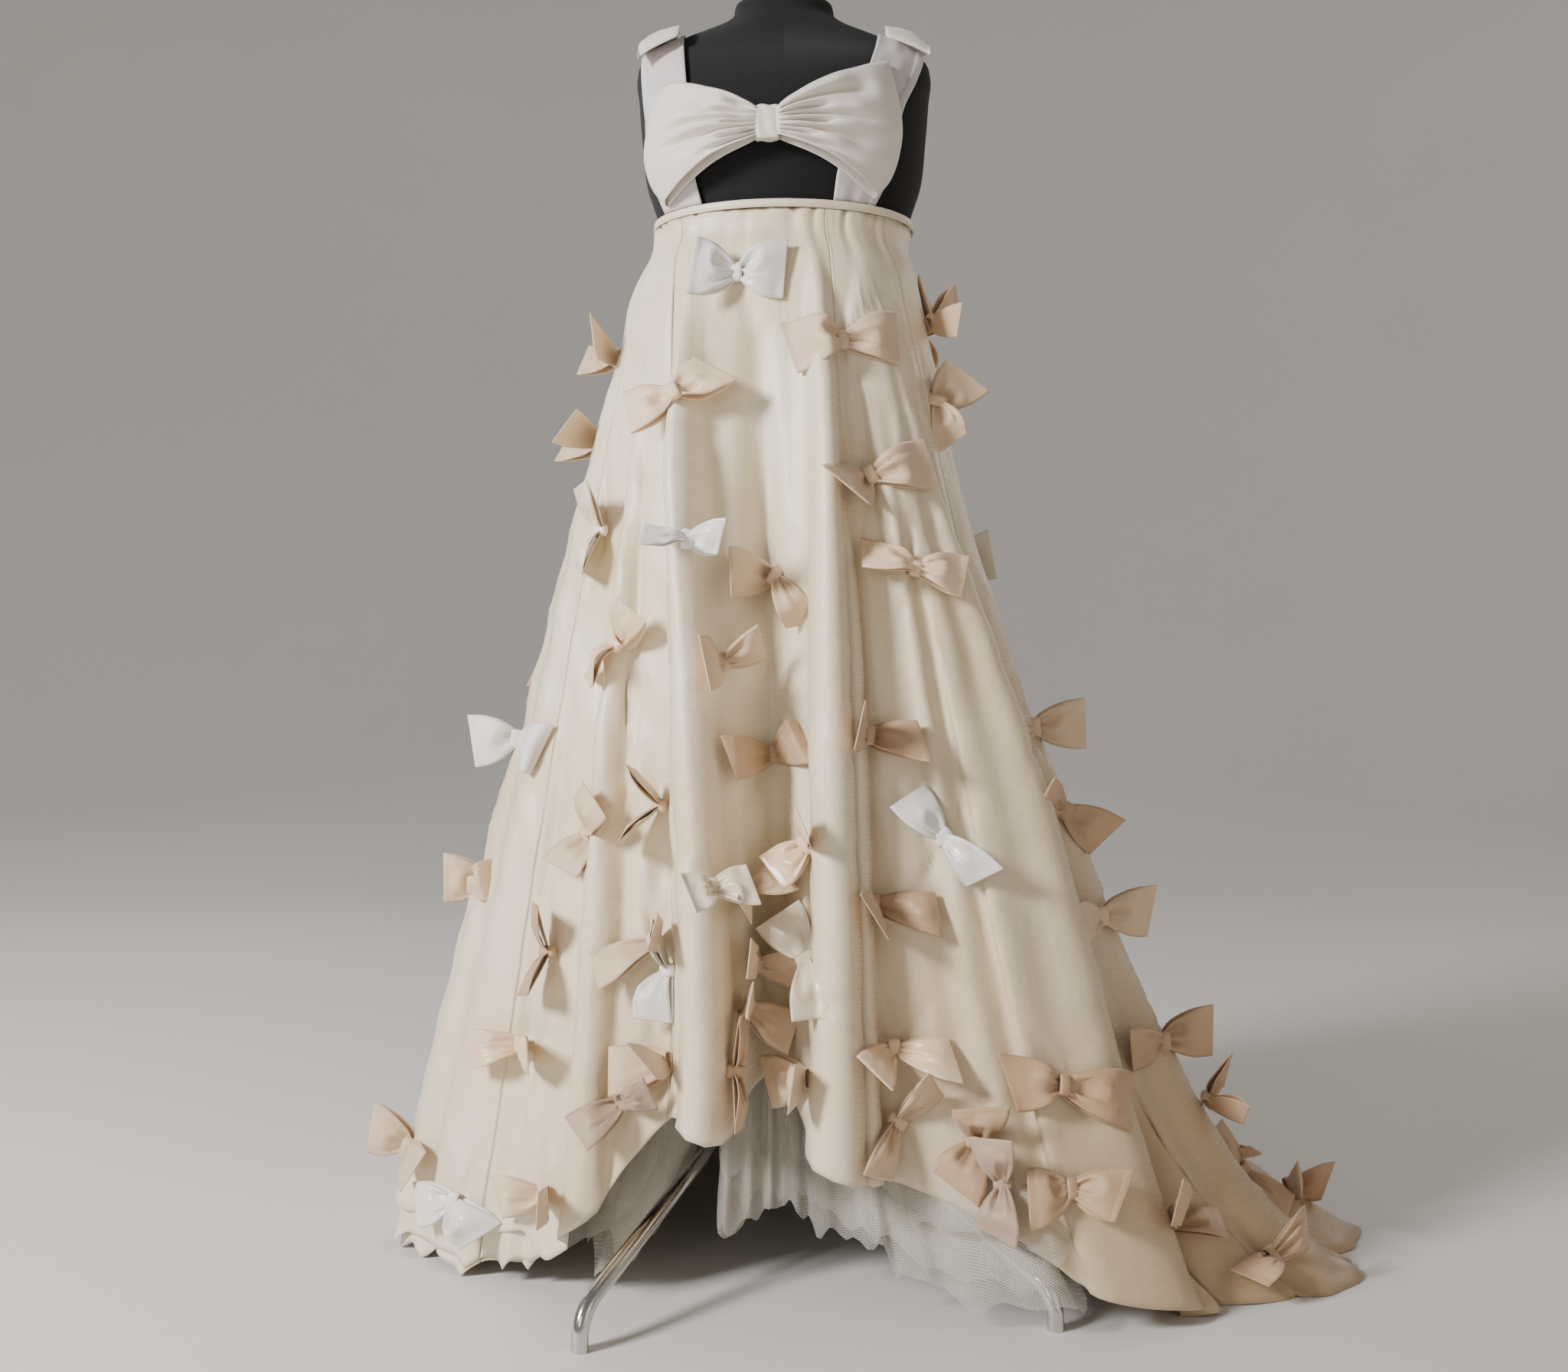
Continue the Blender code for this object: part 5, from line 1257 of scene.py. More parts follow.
class DressSizes(bpy.types.PropertyGroup):
    """Sizes that change how the cloth looks."""

    mesh_size: described("Width of a face of the skirt's cloth", "Mesh size", 0.0058, "LENGTH")
    taffeta_thickness: described("Thickness of the skirt's cloth", "Taffeta thickness", 0.0008, "LENGTH")
    ribbon_thickness: described("Thickness of the bows' cloth", "Ribbon thickness", 0.0009, "LENGTH")
    net_thickness: described("Thickness of a layer of net", "Net thickness", 0.0004, "LENGTH")
    gathers: described("Strength of the pulls under the top edge", "Gathers", 0.45)
    pulls: described("Strength of the pulls round each tacked bow", "Pulls", 1.0)
    crumple: described("Strength of the cloth's uneven surface", "Crumple", 1.0)
    bow_puff: described("How far a bow's loops stand open", "Bow puff", 0.013, "LENGTH")
    stitch_spacing: described("Distance from stitch to stitch", "Stitch spacing", 0.0034, "LENGTH")
    thread_radius: described("Half the sewing thread's thickness", "Thread radius", 0.00035, "LENGTH")
    leg_radius: described("Radius of the stand's tubes", "Leg radius", 0.0085, "LENGTH")


class DressColours(bpy.types.PropertyGroup):
    """Colours of the cloths and the stand, in linear light."""

    skirt_light: silk("Ivory of the skirt", "Skirt, light", "F1E6CE")
    skirt_deep: silk("Warmer ivory in the skirt", "Skirt, deep", "DDC79F")
    bodice: silk("Off-white of the bust bow", "Bodice", "E6DFD4")
    strap: silk("Pale cool silk of the straps", "Straps", "D2CAC9")
    net: silk("Ivory of the net", "Net", "E9E2D2")
    bow_white: silk("White silk", "White bows", "F2EFEA")
    bow_cream: silk("Cream silk", "Cream bows", "F0E3CC")
    bow_peach: silk("Peach silk", "Peach bows", "F3D6B4")
    bow_beige: silk("Beige-pink silk", "Beige bows", "DEC2A2")
    bow_tan: silk("Tan silk", "Tan bows", "C5A380")
    bow_mauve: silk("Mauve-beige silk", "Mauve bows", "BBA08A")
    jersey: silk("Black cotton jersey", "Form cover", "0E0E10")
    floor: silk("Pale studio floor", "Floor", "E4E1DC")


class OBJECT_OT_dress_skirt(bpy.types.Operator):
    """Makes the eight gores of the skirt"""

    bl_idname = "object.dress_skirt"
    bl_label = "Skirt gores"

    def execute(self, context):
        sizes = context.scene.dress_sizes
        cloth = skirt_cloth(context)
        for name, start, end in GORES:
            points = gore_grid(start, end, sizes)
            grids = [cloth_grid(points), *hem_layers(start, end)]
            obj = grids_object(name + "_cloth", grids, cloth)
            thicken(obj, sizes.taffeta_thickness)
            hand_over(obj, name)
        return {"FINISHED"}


class OBJECT_OT_dress_binding(bpy.types.Operator):
    """Makes the binding of the skirt's top edge"""

    bl_idname = "object.dress_binding"
    bl_label = "Skirt binding"

    def execute(self, context):
        sides = 240
        turns = np.radians(np.arange(sides) * 360 / sides)
        # A strip folded over the edge: its section goes up the outside, over and down inside
        section = [
            (0.0002, BINDING_HEIGHT),
            (0.0006, BINDING_HEIGHT * 0.9),
            (0.0007, BINDING_HEIGHT * 0.5),
            (0.0007, BINDING_HEIGHT * 0.15),
            (0.0003, 0.0004),
            (-0.0004, 0.0),
            (-0.0012, 0.0006),
            (-0.0016, BINDING_HEIGHT * 0.5),
            (-0.0016, BINDING_HEIGHT),
        ]
        rows = []
        for out, low in section[::-1]:
            pinch = soft_noise(turns * 24, 0 * turns + low * 100, 9) * 0.0003
            reach = ring_reach(TOP_HALF_WIDTH + out, TOP_HALF_DEPTH + out, turns) + pinch
            height = np.full(sides, SKIRT_TOP - low)
            rows.append(np.stack([reach * np.sin(turns), -reach * np.cos(turns), height], -1))
        points = np.array(rows)
        grid = cloth_grid(points, ring=True)
        obj = grids_object("skirt_binding_cloth", [grid], skirt_cloth(context))
        thicken(obj, 0.0006)
        hand_over(obj, "skirt_binding")
        return {"FINISHED"}


class OBJECT_OT_dress_petticoat(bpy.types.Operator):
    """Makes the layers of the net petticoat"""

    bl_idname = "object.dress_petticoat"
    bl_label = "Net petticoat"

    def execute(self, context):
        sizes = context.scene.dress_sizes
        light = tuple(context.scene.dress_colours.net)
        fine = silk_net("silk_net", light, 0.07)
        for name, start, end, node, lift, inset, seed in NET_LAYERS:
            angles = np.linspace(start, end, NET_COLUMNS)
            drops = np.linspace(0, 1, NET_ROWS) ** 0.8
            angle, drop = np.meshgrid(angles, drops)
            points_up = np.abs(soft_noise(angle / 7 + seed, 0 * angle + seed, seed)) ** 0.7
            jag = lift + 0.030 * points_up + 0.010 * soft_noise(angle / 2.2, 0 * angle, seed + 1)
            base = petticoat_point(angle, drop, jag, inset)
            out = np.stack([np.sin(np.radians(angle)), -np.cos(np.radians(angle)), 0 * angle], -1)
            waver = 3 * soft_noise(angle / 9, drop * 3, seed + 2)
            pleat = np.sin(np.radians(angle) * NET_PLEATS + waver)
            ripple = 0.0050 * pleat + 0.0060 * soft_noise(angle / 2.6, drop * 7, seed + 3)
            points = base + out * (ripple * smooth_step(0.35, 0.9, drop))[..., None]
            points[..., 2] = np.maximum(points[..., 2], LOWEST + 0.004)
            obj = grids_object(name, [cloth_grid(points)], fine)
            thicken(obj, sizes.net_thickness)
            hand_over(obj, node)
        return {"FINISHED"}


class OBJECT_OT_dress_straps(bpy.types.Operator):
    """Makes the two shoulder straps"""

    bl_idname = "object.dress_straps"
    bl_label = "Shoulder straps"

    def execute(self, context):
        light = tuple(context.scene.dress_colours.strap)
        deep = tuple(value * shade for value, shade in zip(light, (0.93, 0.92, 0.93)))
        cloth = taffeta("pale_strap_silk", light, deep, roughness=0.55, crumple=0.0003)
        for seed, (name, rows) in enumerate(STRAPS.items()):
            table = columns_of(rows, STRAP_COLUMNS)
            turns = np.linspace(-STRAP_TURN_DOWN, 180 + STRAP_TURN_DOWN, 120)[:, None]
            parts = np.linspace(0, 1, 29)[None, :]
            outer = smooth_curve(table["turn"], table["outer"], turns)
            inner = smooth_curve(table["turn"], table["inner"], turns)
            x = outer + (inner - outer) * parts
            # The outer edge is folded under and sewn, which leaves a narrow raised band
            band = 0.0006 * smooth_step(0.17, 0.15, parts) - 0.0005 * bell((parts - 0.17) / 0.02)
            band = band - 0.0008 * (parts < 0.01) - 0.0008 * (parts > 0.99)
            ease = soft_noise(parts * 5 + 4, turns / 22, 40 + seed) * 0.0012
            offset = STRAP_CLEARANCE + 0.0012 + band + ease
            points = over_shoulder(x, turns + 0 * parts, offset)
            grid = cloth_grid(points, flip="short" in name)
            obj = grids_object(name + "_silk", [grid], cloth)
            thicken(obj, 0.0009)
            hand_over(obj, name)
        return {"FINISHED"}


class OBJECT_OT_dress_bust_bow(bpy.types.Operator):
    """Makes the great bow across the bust: two gathered loops and a knot band"""

    bl_idname = "object.dress_bust_bow"
    bl_label = "Bust bow"

    def execute(self, context):
        cloth = bodice_cloth(context)
        for seed, name in enumerate(WINGS):
            stations, strips = 46, 47
            out_along = np.linspace(0, 0.985, stations)
            part = np.linspace(0, 1, strips)[None, :]
            front_along = out_along[:, None] + 0 * part
            bulge = 0.012 * np.sin(math.pi * np.clip(front_along, 0, 1)) ** 0.6 + 0.0095
            gathers = np.zeros_like(front_along)
            for place, length, width, amount in WING_GATHERS[name]:
                spread = width * (0.45 + 1.4 * front_along)
                run = 1 - smooth_step(0.5 * length, 1.1 * length, front_along)
                run = smooth_step(0.0, 0.10, front_along) * run
                off = part - (place + 0.05 * math.sin(7 * place) * front_along)
                gathers -= 2.1 * amount * run * bell(off / spread)
                gathers += 0.6 * amount * run * bell((off - 1.5 * spread) / (0.8 * spread))
            soft = soft_noise(front_along * 6, part * 7, 50 + seed) * 0.0026
            soft = soft * smooth_step(0, 0.2, front_along)
            middle = 0.0050 + 0.006 * (1 - front_along)
            front_offset = middle + bulge + gathers + soft
            back_offset = middle + 0 * part
            front_offset = np.maximum(front_offset, back_offset + 0.0030)
            # The front layer's lower edge lies a little above the back layer's, so both show
            waver = soft_noise(front_along * 3, 0 * part + 0.5, 60 + seed)
            front_part = part * 0.955 + 0.035 + 0.010 * waver
            front = bust_wing_point(name, front_along, front_part, front_offset)
            back = bust_wing_point(name, front_along, part + 0 * front_along, back_offset)
            turns = []
            for step in (0.25, 0.5, 0.75):
                bulged = 0.985 + 0.015 * math.sin(math.pi * step)
                along = np.full((1, strips), bulged)
                offset = front_offset[-1:] * (1 - step) + back_offset[-1:] * step
                edge = front_part[-1:] * (1 - step) + part * step
                turns.append(bust_wing_point(name, along, edge, offset))
            points = np.concatenate([front, *turns, back[::-1]], 0)
            grid = cloth_grid(points, flip="short" in name)
            obj = grids_object(name + "_silk", [grid], cloth)
            thicken(obj, 0.0009)
            hand_over(obj, name)
            width, length = lengths_along(points, 1).max(), lengths_along(points, 0).max()
        self.knot(cloth)
        return {"FINISHED"}

    def knot(self, cloth):
        """The plain band round the middle: a ring of cloth, flat in front, with rolled edges."""
        half_height = (KNOT_HIGH - KNOT_LOW) / 2
        centre = bust_point(np.array(KNOT_X), np.array((KNOT_LOW + KNOT_HIGH) / 2), 0.0)
        around = np.linspace(0, 2 * math.pi, 48, endpoint=False)
        across = np.linspace(-1, 1, 15)
        rows = []
        for place in across:
            roll = 0.0012 * abs(place) ** 6
            soft = 0.0005 * np.sin(3 * around + 5 * place)
            up = np.sign(np.sin(around)) * np.abs(np.sin(around)) ** 0.35 * (half_height - roll + soft)
            out = np.sign(np.cos(around)) * np.abs(np.cos(around)) ** 0.3 * (0.0075 - roll + soft)
            x = np.full(48, KNOT_X + place * KNOT_HALF_WIDTH)
            rows.append(np.stack([x, centre[1] - 0.0130 - out, centre[2] + up], -1))
        points = np.array(rows)
        grid = cloth_grid(points, ring=True, flip=True)
        obj = grids_object("bust_bow_knot_silk", [grid], cloth)
        thicken(obj, 0.0010)
        hand_over(obj, "bust_bow_knot")


def wing_shape(length, height, slant, puff, rng):
    """One loop of a small bow before it is placed: along, across and out of its front and back.

    A loop that looks low from the front is rolled, and one that looks short stands off the cloth."""
    stations, strips = 12, 15
    along = np.linspace(0, 1, stations)[:, None]
    across = np.linspace(-1, 1, strips)[None, :]
    true_height = max(height, LEAST_LOOP_HEIGHT)
    true_length = max(length, LEAST_LOOP_LENGTH)
    rolled = math.sqrt(1 - (height / true_height) ** 2) * rng.choice((-1, 1))
    raised = min(math.sqrt(true_length**2 - length**2), 0.026)
    pinch = 0.0068
    fan = 1 - (1 - along) ** 2.3
    half = pinch + (true_height / 2 - pinch) * fan
    skew = max(-0.2, min(0.2, math.tan(math.radians(slant)) * height / 2 / length))
    reach = along * (1 + skew * across * along) * length
    open_up = puff * np.sin(math.pi * along**0.8) ** 0.75 * (1 - 0.3 * across**2)
    folds = np.zeros((stations, strips))
    for place in (-0.82, -0.42, -0.05, 0.34, 0.74):
        at = place + rng.uniform(-0.14, 0.14)
        run = rng.uniform(0.30, 1.0)
        amount = rng.uniform(0.0024, 0.0068)
        width = rng.uniform(0.08, 0.17)
        fade = smooth_step(0, 0.10, along) * (1 - smooth_step(0.3 * run, run, along))
        folds -= amount * fade * bell((across - at * (0.6 + 0.5 * along)) / width)
    # A scoop beside the knot with a rounded ridge beyond it
    at, deep = rng.uniform(-0.45, 0.45), rng.uniform(0.003, 0.006)
    apart = np.sqrt(((along - 0.30) / 0.20) ** 2 + ((across - at) / 0.42) ** 2)
    folds += deep * (0.7 * bell((apart - 1.35) / 0.35) - bell(apart))
    soft = soft_noise(along * 3 + rng.uniform(0, 50), across * 1.5 + rng.uniform(0, 50), 17) * 0.0026
    twist = rng.uniform(-0.004, 0.004) * across * along + raised * along**1.3
    twist = twist + (1 + math.copysign(1, rolled) * across) * half * abs(rolled) * 0.8
    front = 0.0045 + open_up + folds + soft * along + twist
    back = 0.0010 + 0.0050 * along + twist
    front = np.maximum(front, back + 0.0016)
    return reach, across * half * (height / true_height), front, back + 0 * across


def softened(values, times):
    """Values of a grid, each averaged with those beside it."""
    for _ in range(times):
        wide = np.pad(values, 1, mode="edge")
        beside = wide[:-2, 1:-1] + wide[2:, 1:-1] + wide[1:-1, :-2] + wide[1:-1, 2:]
        values = (beside + 2 * wide[1:-1, 1:-1]) / 6
    return values


def placed_wing(shape, turn, frame_of, ground):
    """Puts a loop on the cloth: it bends with the ground under it and never sinks into it."""
    reach, across, front, back = shape
    centre, normal, level, upward = frame_of
    first = level * math.cos(math.radians(turn)) + upward * math.sin(math.radians(turn))
    second = upward * math.cos(math.radians(turn)) - level * math.sin(math.radians(turn))
    flat = centre + reach[..., None] * first + across[..., None] * second
    rise = ground(flat, normal)
    found = np.where(np.isnan(rise), -0.03, rise)
    found = softened(found, 2)
    follow = np.clip(found.mean(1, keepdims=True), -0.016, 0.04)
    follow = np.concatenate([follow[:1], (follow[:-2] + follow[1:-1] + follow[2:]) / 3, follow[-1:]])
    least = softened(np.minimum(found, follow + 0.020), 3) + 0.0024
    back = np.maximum(follow + back, least)
    front = np.maximum(follow + front, back + 0.0022)
    turned = []
    for step in (0.15, 0.5, 0.85):
        out = front[-1] * (1 - step) + back[-1] * step
        turned.append(flat[-1] + first * 0.0012 * math.sin(math.pi * step) + normal * out[:, None])
    front_points = flat + normal * front[..., None]
    back_points = flat + normal * back[..., None]
    return np.concatenate([front_points, np.array(turned), back_points[::-1]], 0), back[0].mean()


def bow_grids(bow, frame_of, ground, puff, seed):
    """The two loops and the knot band of a small bow."""
    rng = np.random.default_rng(seed)
    grids = []
    lengths = []
    base = 0.0
    for side in ("right", "left"):
        length = bow[side + "_length"] / 1000
        height = bow[side + "_height"] / 1000
        shape = wing_shape(length, height, bow[side + "_slant"], puff, rng)
        points, low = placed_wing(shape, bow[side + "_turn"], frame_of, ground)
        grids.append(cloth_grid(points))
        lengths.append(max(length, LEAST_LOOP_LENGTH))
        base = max(base, low)
    centre, normal, level, upward = frame_of
    mean_turn = math.radians((bow["right_turn"] + bow["left_turn"] - 180) / 2)
    if abs((bow["right_turn"] - bow["left_turn"] + 180) % 360 - 180) > 90 and bow["right_turn"] > 200:
        mean_turn = math.radians((bow["right_turn"] - 360 + bow["left_turn"] - 180) / 2)
    first = level * math.cos(mean_turn) + upward * math.sin(mean_turn)
    second = upward * math.cos(mean_turn) - level * math.sin(mean_turn)
    around = np.linspace(0, 2 * math.pi, 16, endpoint=False)
    rows = []
    for place in np.linspace(-1, 1, 5):
        roll = 0.0009 * abs(place) ** 5
        up = np.sign(np.sin(around)) * np.abs(np.sin(around)) ** 0.6 * (0.0098 - roll)
        out = np.sign(np.cos(around)) * np.abs(np.cos(around)) ** 0.6 * (0.0042 - roll)
        ring = centre + first * place * 0.0062 + up[:, None] * second
        rows.append(ring + normal * (base + 0.0036 + out)[:, None])
    points = np.array(rows)
    grids.append(cloth_grid(points, ring=True, flip=True))
    return grids, lengths


def finish_bow(obj, grids, lengths, height, thickness, node):
    """Thickness of a small bow and the solid it stands for. The area its strip was cut to, doubled loops
    and a knot, is worked out but not kept.
    """
    thicken(obj, thickness)
    hand_over(obj, node)
    area = sum(grid_area(grid["points"]) for grid in grids)
    width = 1.15 * max(height, LEAST_LOOP_HEIGHT)
    length = 2.4 * sum(lengths) + 0.05
    area = min(max(area, 0.31 * width * length), width * length)


class OBJECT_OT_dress_small_bows(bpy.types.Operator):
    """Makes the small bows that are tacked on all over the skirt"""

    bl_idname = "object.dress_small_bows"
    bl_label = "Bows on the skirt"

    def execute(self, context):
        sizes = context.scene.dress_sizes
        points, faces, count = [], [], 0
        for name, _, _ in GORES:
            mesh = bpy.data.objects[name + "_cloth"].data
            place = np.empty(len(mesh.vertices) * 3, np.float32)
            mesh.vertices.foreach_get("co", place)
            points.append(place.reshape(-1, 3) - AXIS)
            faces += [[index + count for index in face.vertices] for face in mesh.polygons]
            count += len(mesh.vertices)
        ground_tree = BVHTree.FromPolygons(np.concatenate(points).tolist(), faces)

        def ground(flat, normal):
            """How far the cloth stands out of a bow's plane at each of its points."""
            out = Vector(normal)
            start = 0.06
            found = np.full(flat.shape[:2], np.nan)
            for row in range(flat.shape[0]):
                for column in range(flat.shape[1]):
                    origin = Vector(flat[row, column]) + out * start
                    hit = ground_tree.ray_cast(origin, -out, 0.14)
                    if hit[0] is not None:
                        found[row, column] = start - hit[3]
            return found

        for number, bow in enumerate(all_bows()):
            frame_of = bow_frame(bow["angle"], bow["drop"], bow["fronted"])
            grids, lengths = bow_grids(bow, frame_of, ground, sizes.bow_puff, 100 + number)
            name = "bow_" + bow["name"]
            obj = grids_object(name + "_ribbon", grids, cloth_of(context, bow["cloth"]))
            height = max(bow["right_height"], bow["left_height"]) / 1000
            node = name if number < SOLID_BOWS else None
            finish_bow(obj, grids, lengths, height, sizes.ribbon_thickness, node)
        return {"FINISHED"}


class OBJECT_OT_dress_shoulder_bows(bpy.types.Operator):
    """Makes the bow over each shoulder"""

    bl_idname = "object.dress_shoulder_bows"
    bl_label = "Shoulder bows"

    def execute(self, context):
        sizes = context.scene.dress_sizes
        cloth = bodice_cloth(context)
        for seed, row in enumerate(SHOULDER_BOWS):
            bow = dict(zip(SHOULDER_COLUMNS, row))
            tilt = math.radians(bow["tilt"])
            rng = np.random.default_rng(70 + seed)
            grids = []
            for side in (1, -1):
                reach, across, front, back = wing_shape(
                    bow["length"] / 2,
                    bow["height"],
                    bow["front_slant"] if side > 0 else bow["back_slant"],
                    sizes.bow_puff * 1.7,
                    rng,
                )
                along = side * reach
                forward = along * math.cos(tilt) - across * math.sin(tilt)
                x = bow["x"] + across * math.cos(tilt) + along * math.sin(tilt)
                x = np.clip(x, -SHOULDER_EDGE, SHOULDER_EDGE)
                turn = bow["turn"] - np.degrees(forward / SHOULDER_ROUNDING)
                risen = STRAP_CLEARANCE + 0.0024 + 0.012 * (reach / 0.06) ** 2
                front, back = (over_shoulder(x, turn, risen + out) for out in (front, back))
                points = np.concatenate([front, back[::-1]], 0)
                grids.append(cloth_grid(points, flip=side < 0))
            around = np.linspace(0, 2 * math.pi, 20, endpoint=False)
            rows = []
            for place in np.linspace(-1, 1, 7):
                up = np.sin(around) * 0.0098
                out = STRAP_CLEARANCE + 0.0064 + np.cos(around) * 0.0046
                forward = place * 0.0062 * math.cos(tilt) - up * math.sin(tilt)
                x = bow["x"] + up * math.cos(tilt) + place * 0.0062 * math.sin(tilt)
                turn = bow["turn"] - np.degrees(forward / SHOULDER_ROUNDING)
                rows.append(over_shoulder(x, turn, out))
            points = np.array(rows)
            grids.append(cloth_grid(points, ring=True, flip=True))
            obj = grids_object(bow["name"] + "_silk", grids, cloth)
            lengths = [bow["length"] / 2] * 2
            thickness = sizes.ribbon_thickness
            finish_bow(obj, grids, lengths, bow["height"], thickness, bow["name"])
        return {"FINISHED"}


class OBJECT_OT_dress_stitches(bpy.types.Operator):
    """Sews the binding and the straps"""

    bl_idname = "object.dress_stitches"
    bl_label = "Stitches"

    def execute(self, context):
        sizes = context.scene.dress_sizes
        tree = stitch_tree()
        thread = satin("silk_thread", linear("E8DCC0"), linear("CDBE9C"), 0.4)
        turns = np.radians(np.linspace(0, 360, 361))
        low = BINDING_HEIGHT * 0.72
        reach = ring_reach(TOP_HALF_WIDTH + 0.0010, TOP_HALF_DEPTH + 0.0010, turns)
        ring = np.stack([reach * np.sin(turns), -reach * np.cos(turns), 0 * turns + SKIRT_TOP - low], -1)
        rows = {"skirt_binding_stitches": ([ring], "skirt_taffeta")}
        for name, table in STRAPS.items():
            table = columns_of(table, STRAP_COLUMNS)
            turn = np.linspace(-STRAP_TURN_DOWN, 180 + STRAP_TURN_DOWN, 200)
            outer = smooth_curve(table["turn"], table["outer"], turn)
            inner = smooth_curve(table["turn"], table["inner"], turn)
            lines = [
                over_shoulder(outer + (inner - outer) * part, turn, STRAP_CLEARANCE + 0.0020)
                for part in (0.13, 0.95)
            ]
            rows[name + "_stitches"] = (lines, "strap_silk")
        for name, (lines, slot) in rows.items():
            values = {
                "Spacing": sizes.stitch_spacing,
                "Stitch Length": sizes.stitch_spacing * 0.66,
                "Thread Radius": sizes.thread_radius,
                "Thread": thread,
            }
            hand_over(grown(name, lines, tree, values))
        return {"FINISHED"}


class OBJECT_OT_dress_form(bpy.types.Operator):
    """Makes the limbless form inside the dress"""

    bl_idname = "object.dress_form"
    bl_label = "Dress form"

    def execute(self, context):
        light = tuple(context.scene.dress_colours.jersey)
        deep = tuple(value * 0.6 for value in light)
        cover = cotton_jersey("black_cotton_jersey", light, deep)
        sides = 96
        turns = np.radians(np.arange(sides) * 360 / sides)
        heights = np.linspace(FORM[-1][0], FORM[0][0], 110)
        rings = []

        def ring(height, shrink):
            width = form_value("half_width", height) - shrink
            front, back = form_value("front", height), form_value("back", height)
            depth = np.where(np.cos(turns) > 0, front, back) - shrink
            return [width * np.sin(turns), -depth * np.cos(turns), np.full(sides, height)]

        for shrink in (0.040, 0.020, 0.006):
            rings.append(ring(FORM[-1][0], shrink))
        for height in heights:
            rings.append(ring(height, 0.0015 if height in (heights[0], heights[-1]) else 0.0004))
        for shrink in (0.006, 0.030, 0.070):
            rings.append(ring(FORM[0][0], shrink))
        points = np.stack([np.array(row).T for row in rings])
        grid = cloth_grid(points, ring=True)
        obj = grids_object("form_torso_cover", [grid], cover)
        mesh = obj.data
        count = sides * (len(rings) - 1)
        close_ends(mesh, list(range(sides)), list(range(count, count + sides))[::-1])
        hand_over(obj, "form_torso")
        return {"FINISHED"}


def close_ends(mesh, *loops):
    """Closes open ends of a mesh with one flat face each."""
    shape = bmesh.new()
    shape.from_mesh(mesh)
    shape.verts.ensure_lookup_table()
    for loop in loops:
        face = shape.faces.new([shape.verts[index] for index in loop])
        face.smooth = False
    shape.to_mesh(mesh)
    shape.free()


def leg_line():
    """Reach and height along a leg's middle line, from its socket round the bend to the floor."""
    slope = math.atan(LEG_SLOPE)
    start = FOOT_REACH - BEND_RADIUS + BEND_RADIUS * math.sin(slope)
    rise = LEG_ROOT_HEIGHT - LEG_SLOPE * start - BEND_RADIUS * math.cos(slope)
    points = [(SOCKET_END + SEAM_GAP, LEG_ROOT_HEIGHT - LEG_SLOPE * (SOCKET_END + SEAM_GAP))]
    for angle in np.linspace(slope, math.pi / 2, 15):
        reach = FOOT_REACH - BEND_RADIUS + BEND_RADIUS * math.sin(angle)
        points.append((reach, rise + BEND_RADIUS * math.cos(angle)))
    points.append((FOOT_REACH, 0.0))
    return points


class OBJECT_OT_dress_stand(bpy.types.Operator):
    """Makes the stand: pole, hub with sockets and clamp screws, and five legs"""

    bl_idname = "object.dress_stand"
    bl_label = "Stand"

    def execute(self, context):
        radius = context.scene.dress_sizes.leg_radius
        tree = tube_tree()
        chrome = polished_tube("chromed_steel_tube", linear("D2D0CC"), 0.10)
        dark = polished_tube("blackened_steel", linear("3A3733"), 0.30)
        pole = [(0, 0, HUB_HIGH + SEAM_GAP), (0, 0, FORM[0][0] - SEAM_GAP)]
        self.tube("stand_pole", pole, tree, POLE_RADIUS, chrome)
        sockets, screws, knobs = [], [], []
        for number in range(LEGS):
            turn = math.radians(FIRST_LEG + number * 360 / LEGS)
            out = np.array([math.sin(turn), -math.cos(turn), 0])
            line = [out * reach + np.array([0, 0, height]) for reach, height in leg_line()]
            name = f"stand_leg_{number + 1}"
            self.tube(name, line, tree, radius, chrome)
            ends = [
                out * reach + np.array([0, 0, LEG_ROOT_HEIGHT - LEG_SLOPE * reach])
                for reach in (SOCKET_START, SOCKET_END)
            ]
            sockets.append(ends)
            under = ends[0] * 0.38 + ends[1] * 0.62
            along = (ends[1] - ends[0]) / np.linalg.norm(ends[1] - ends[0])
            down = np.cross(along, np.cross(out, (0, 0, 1)))
            down = down if down[2] < 0 else -down
            screws.append([under, under + down * 0.020])
            knobs.append([under + down * 0.017, under + down * 0.024])
        sleeve = [[(0, 0, HUB_LOW), (0, 0, HUB_HIGH)]]
        lines = {"sleeve": sleeve, "sockets": sockets, "screws": screws, "knobs": knobs}
        parts = [
            grown("hub_" + name, lines[name], tree, self.values(HUB_RADII[name], dark))
            for name in lines
        ]
        meshes = [part.data for part in parts]
        hub = joined("stand_hub_metal", parts)
        for mesh in meshes[1:]:
            bpy.data.meshes.remove(mesh)
        hand_over(hub, "stand_hub")
        return {"FINISHED"}

    def values(self, radius, metal):
        return {"Radius": radius, "Sides": 40, "Metal": metal}

    def tube(self, node, line, tree, radius, metal):
        obj = grown(node + "_tube", [line], tree, self.values(radius, metal))
        mark_sharp(obj)
        hand_over(obj, node)


def mark_sharp(obj):
    """Keeps the round sides smooth and the flat ends crisp."""
    obj.data.set_sharp_from_angle(angle=math.radians(40))


def joined(name, parts):
    """One object from several."""
    shape = bmesh.new()
    for part in parts:
        shape.from_mesh(part.data)
    mesh = parts[0].data
    shape.to_mesh(mesh)
    shape.free()
    for part in parts[1:]:
        bpy.data.objects.remove(part)
    parts[0].name = name
    mesh.name = name
    mark_sharp(parts[0])
    return parts[0]


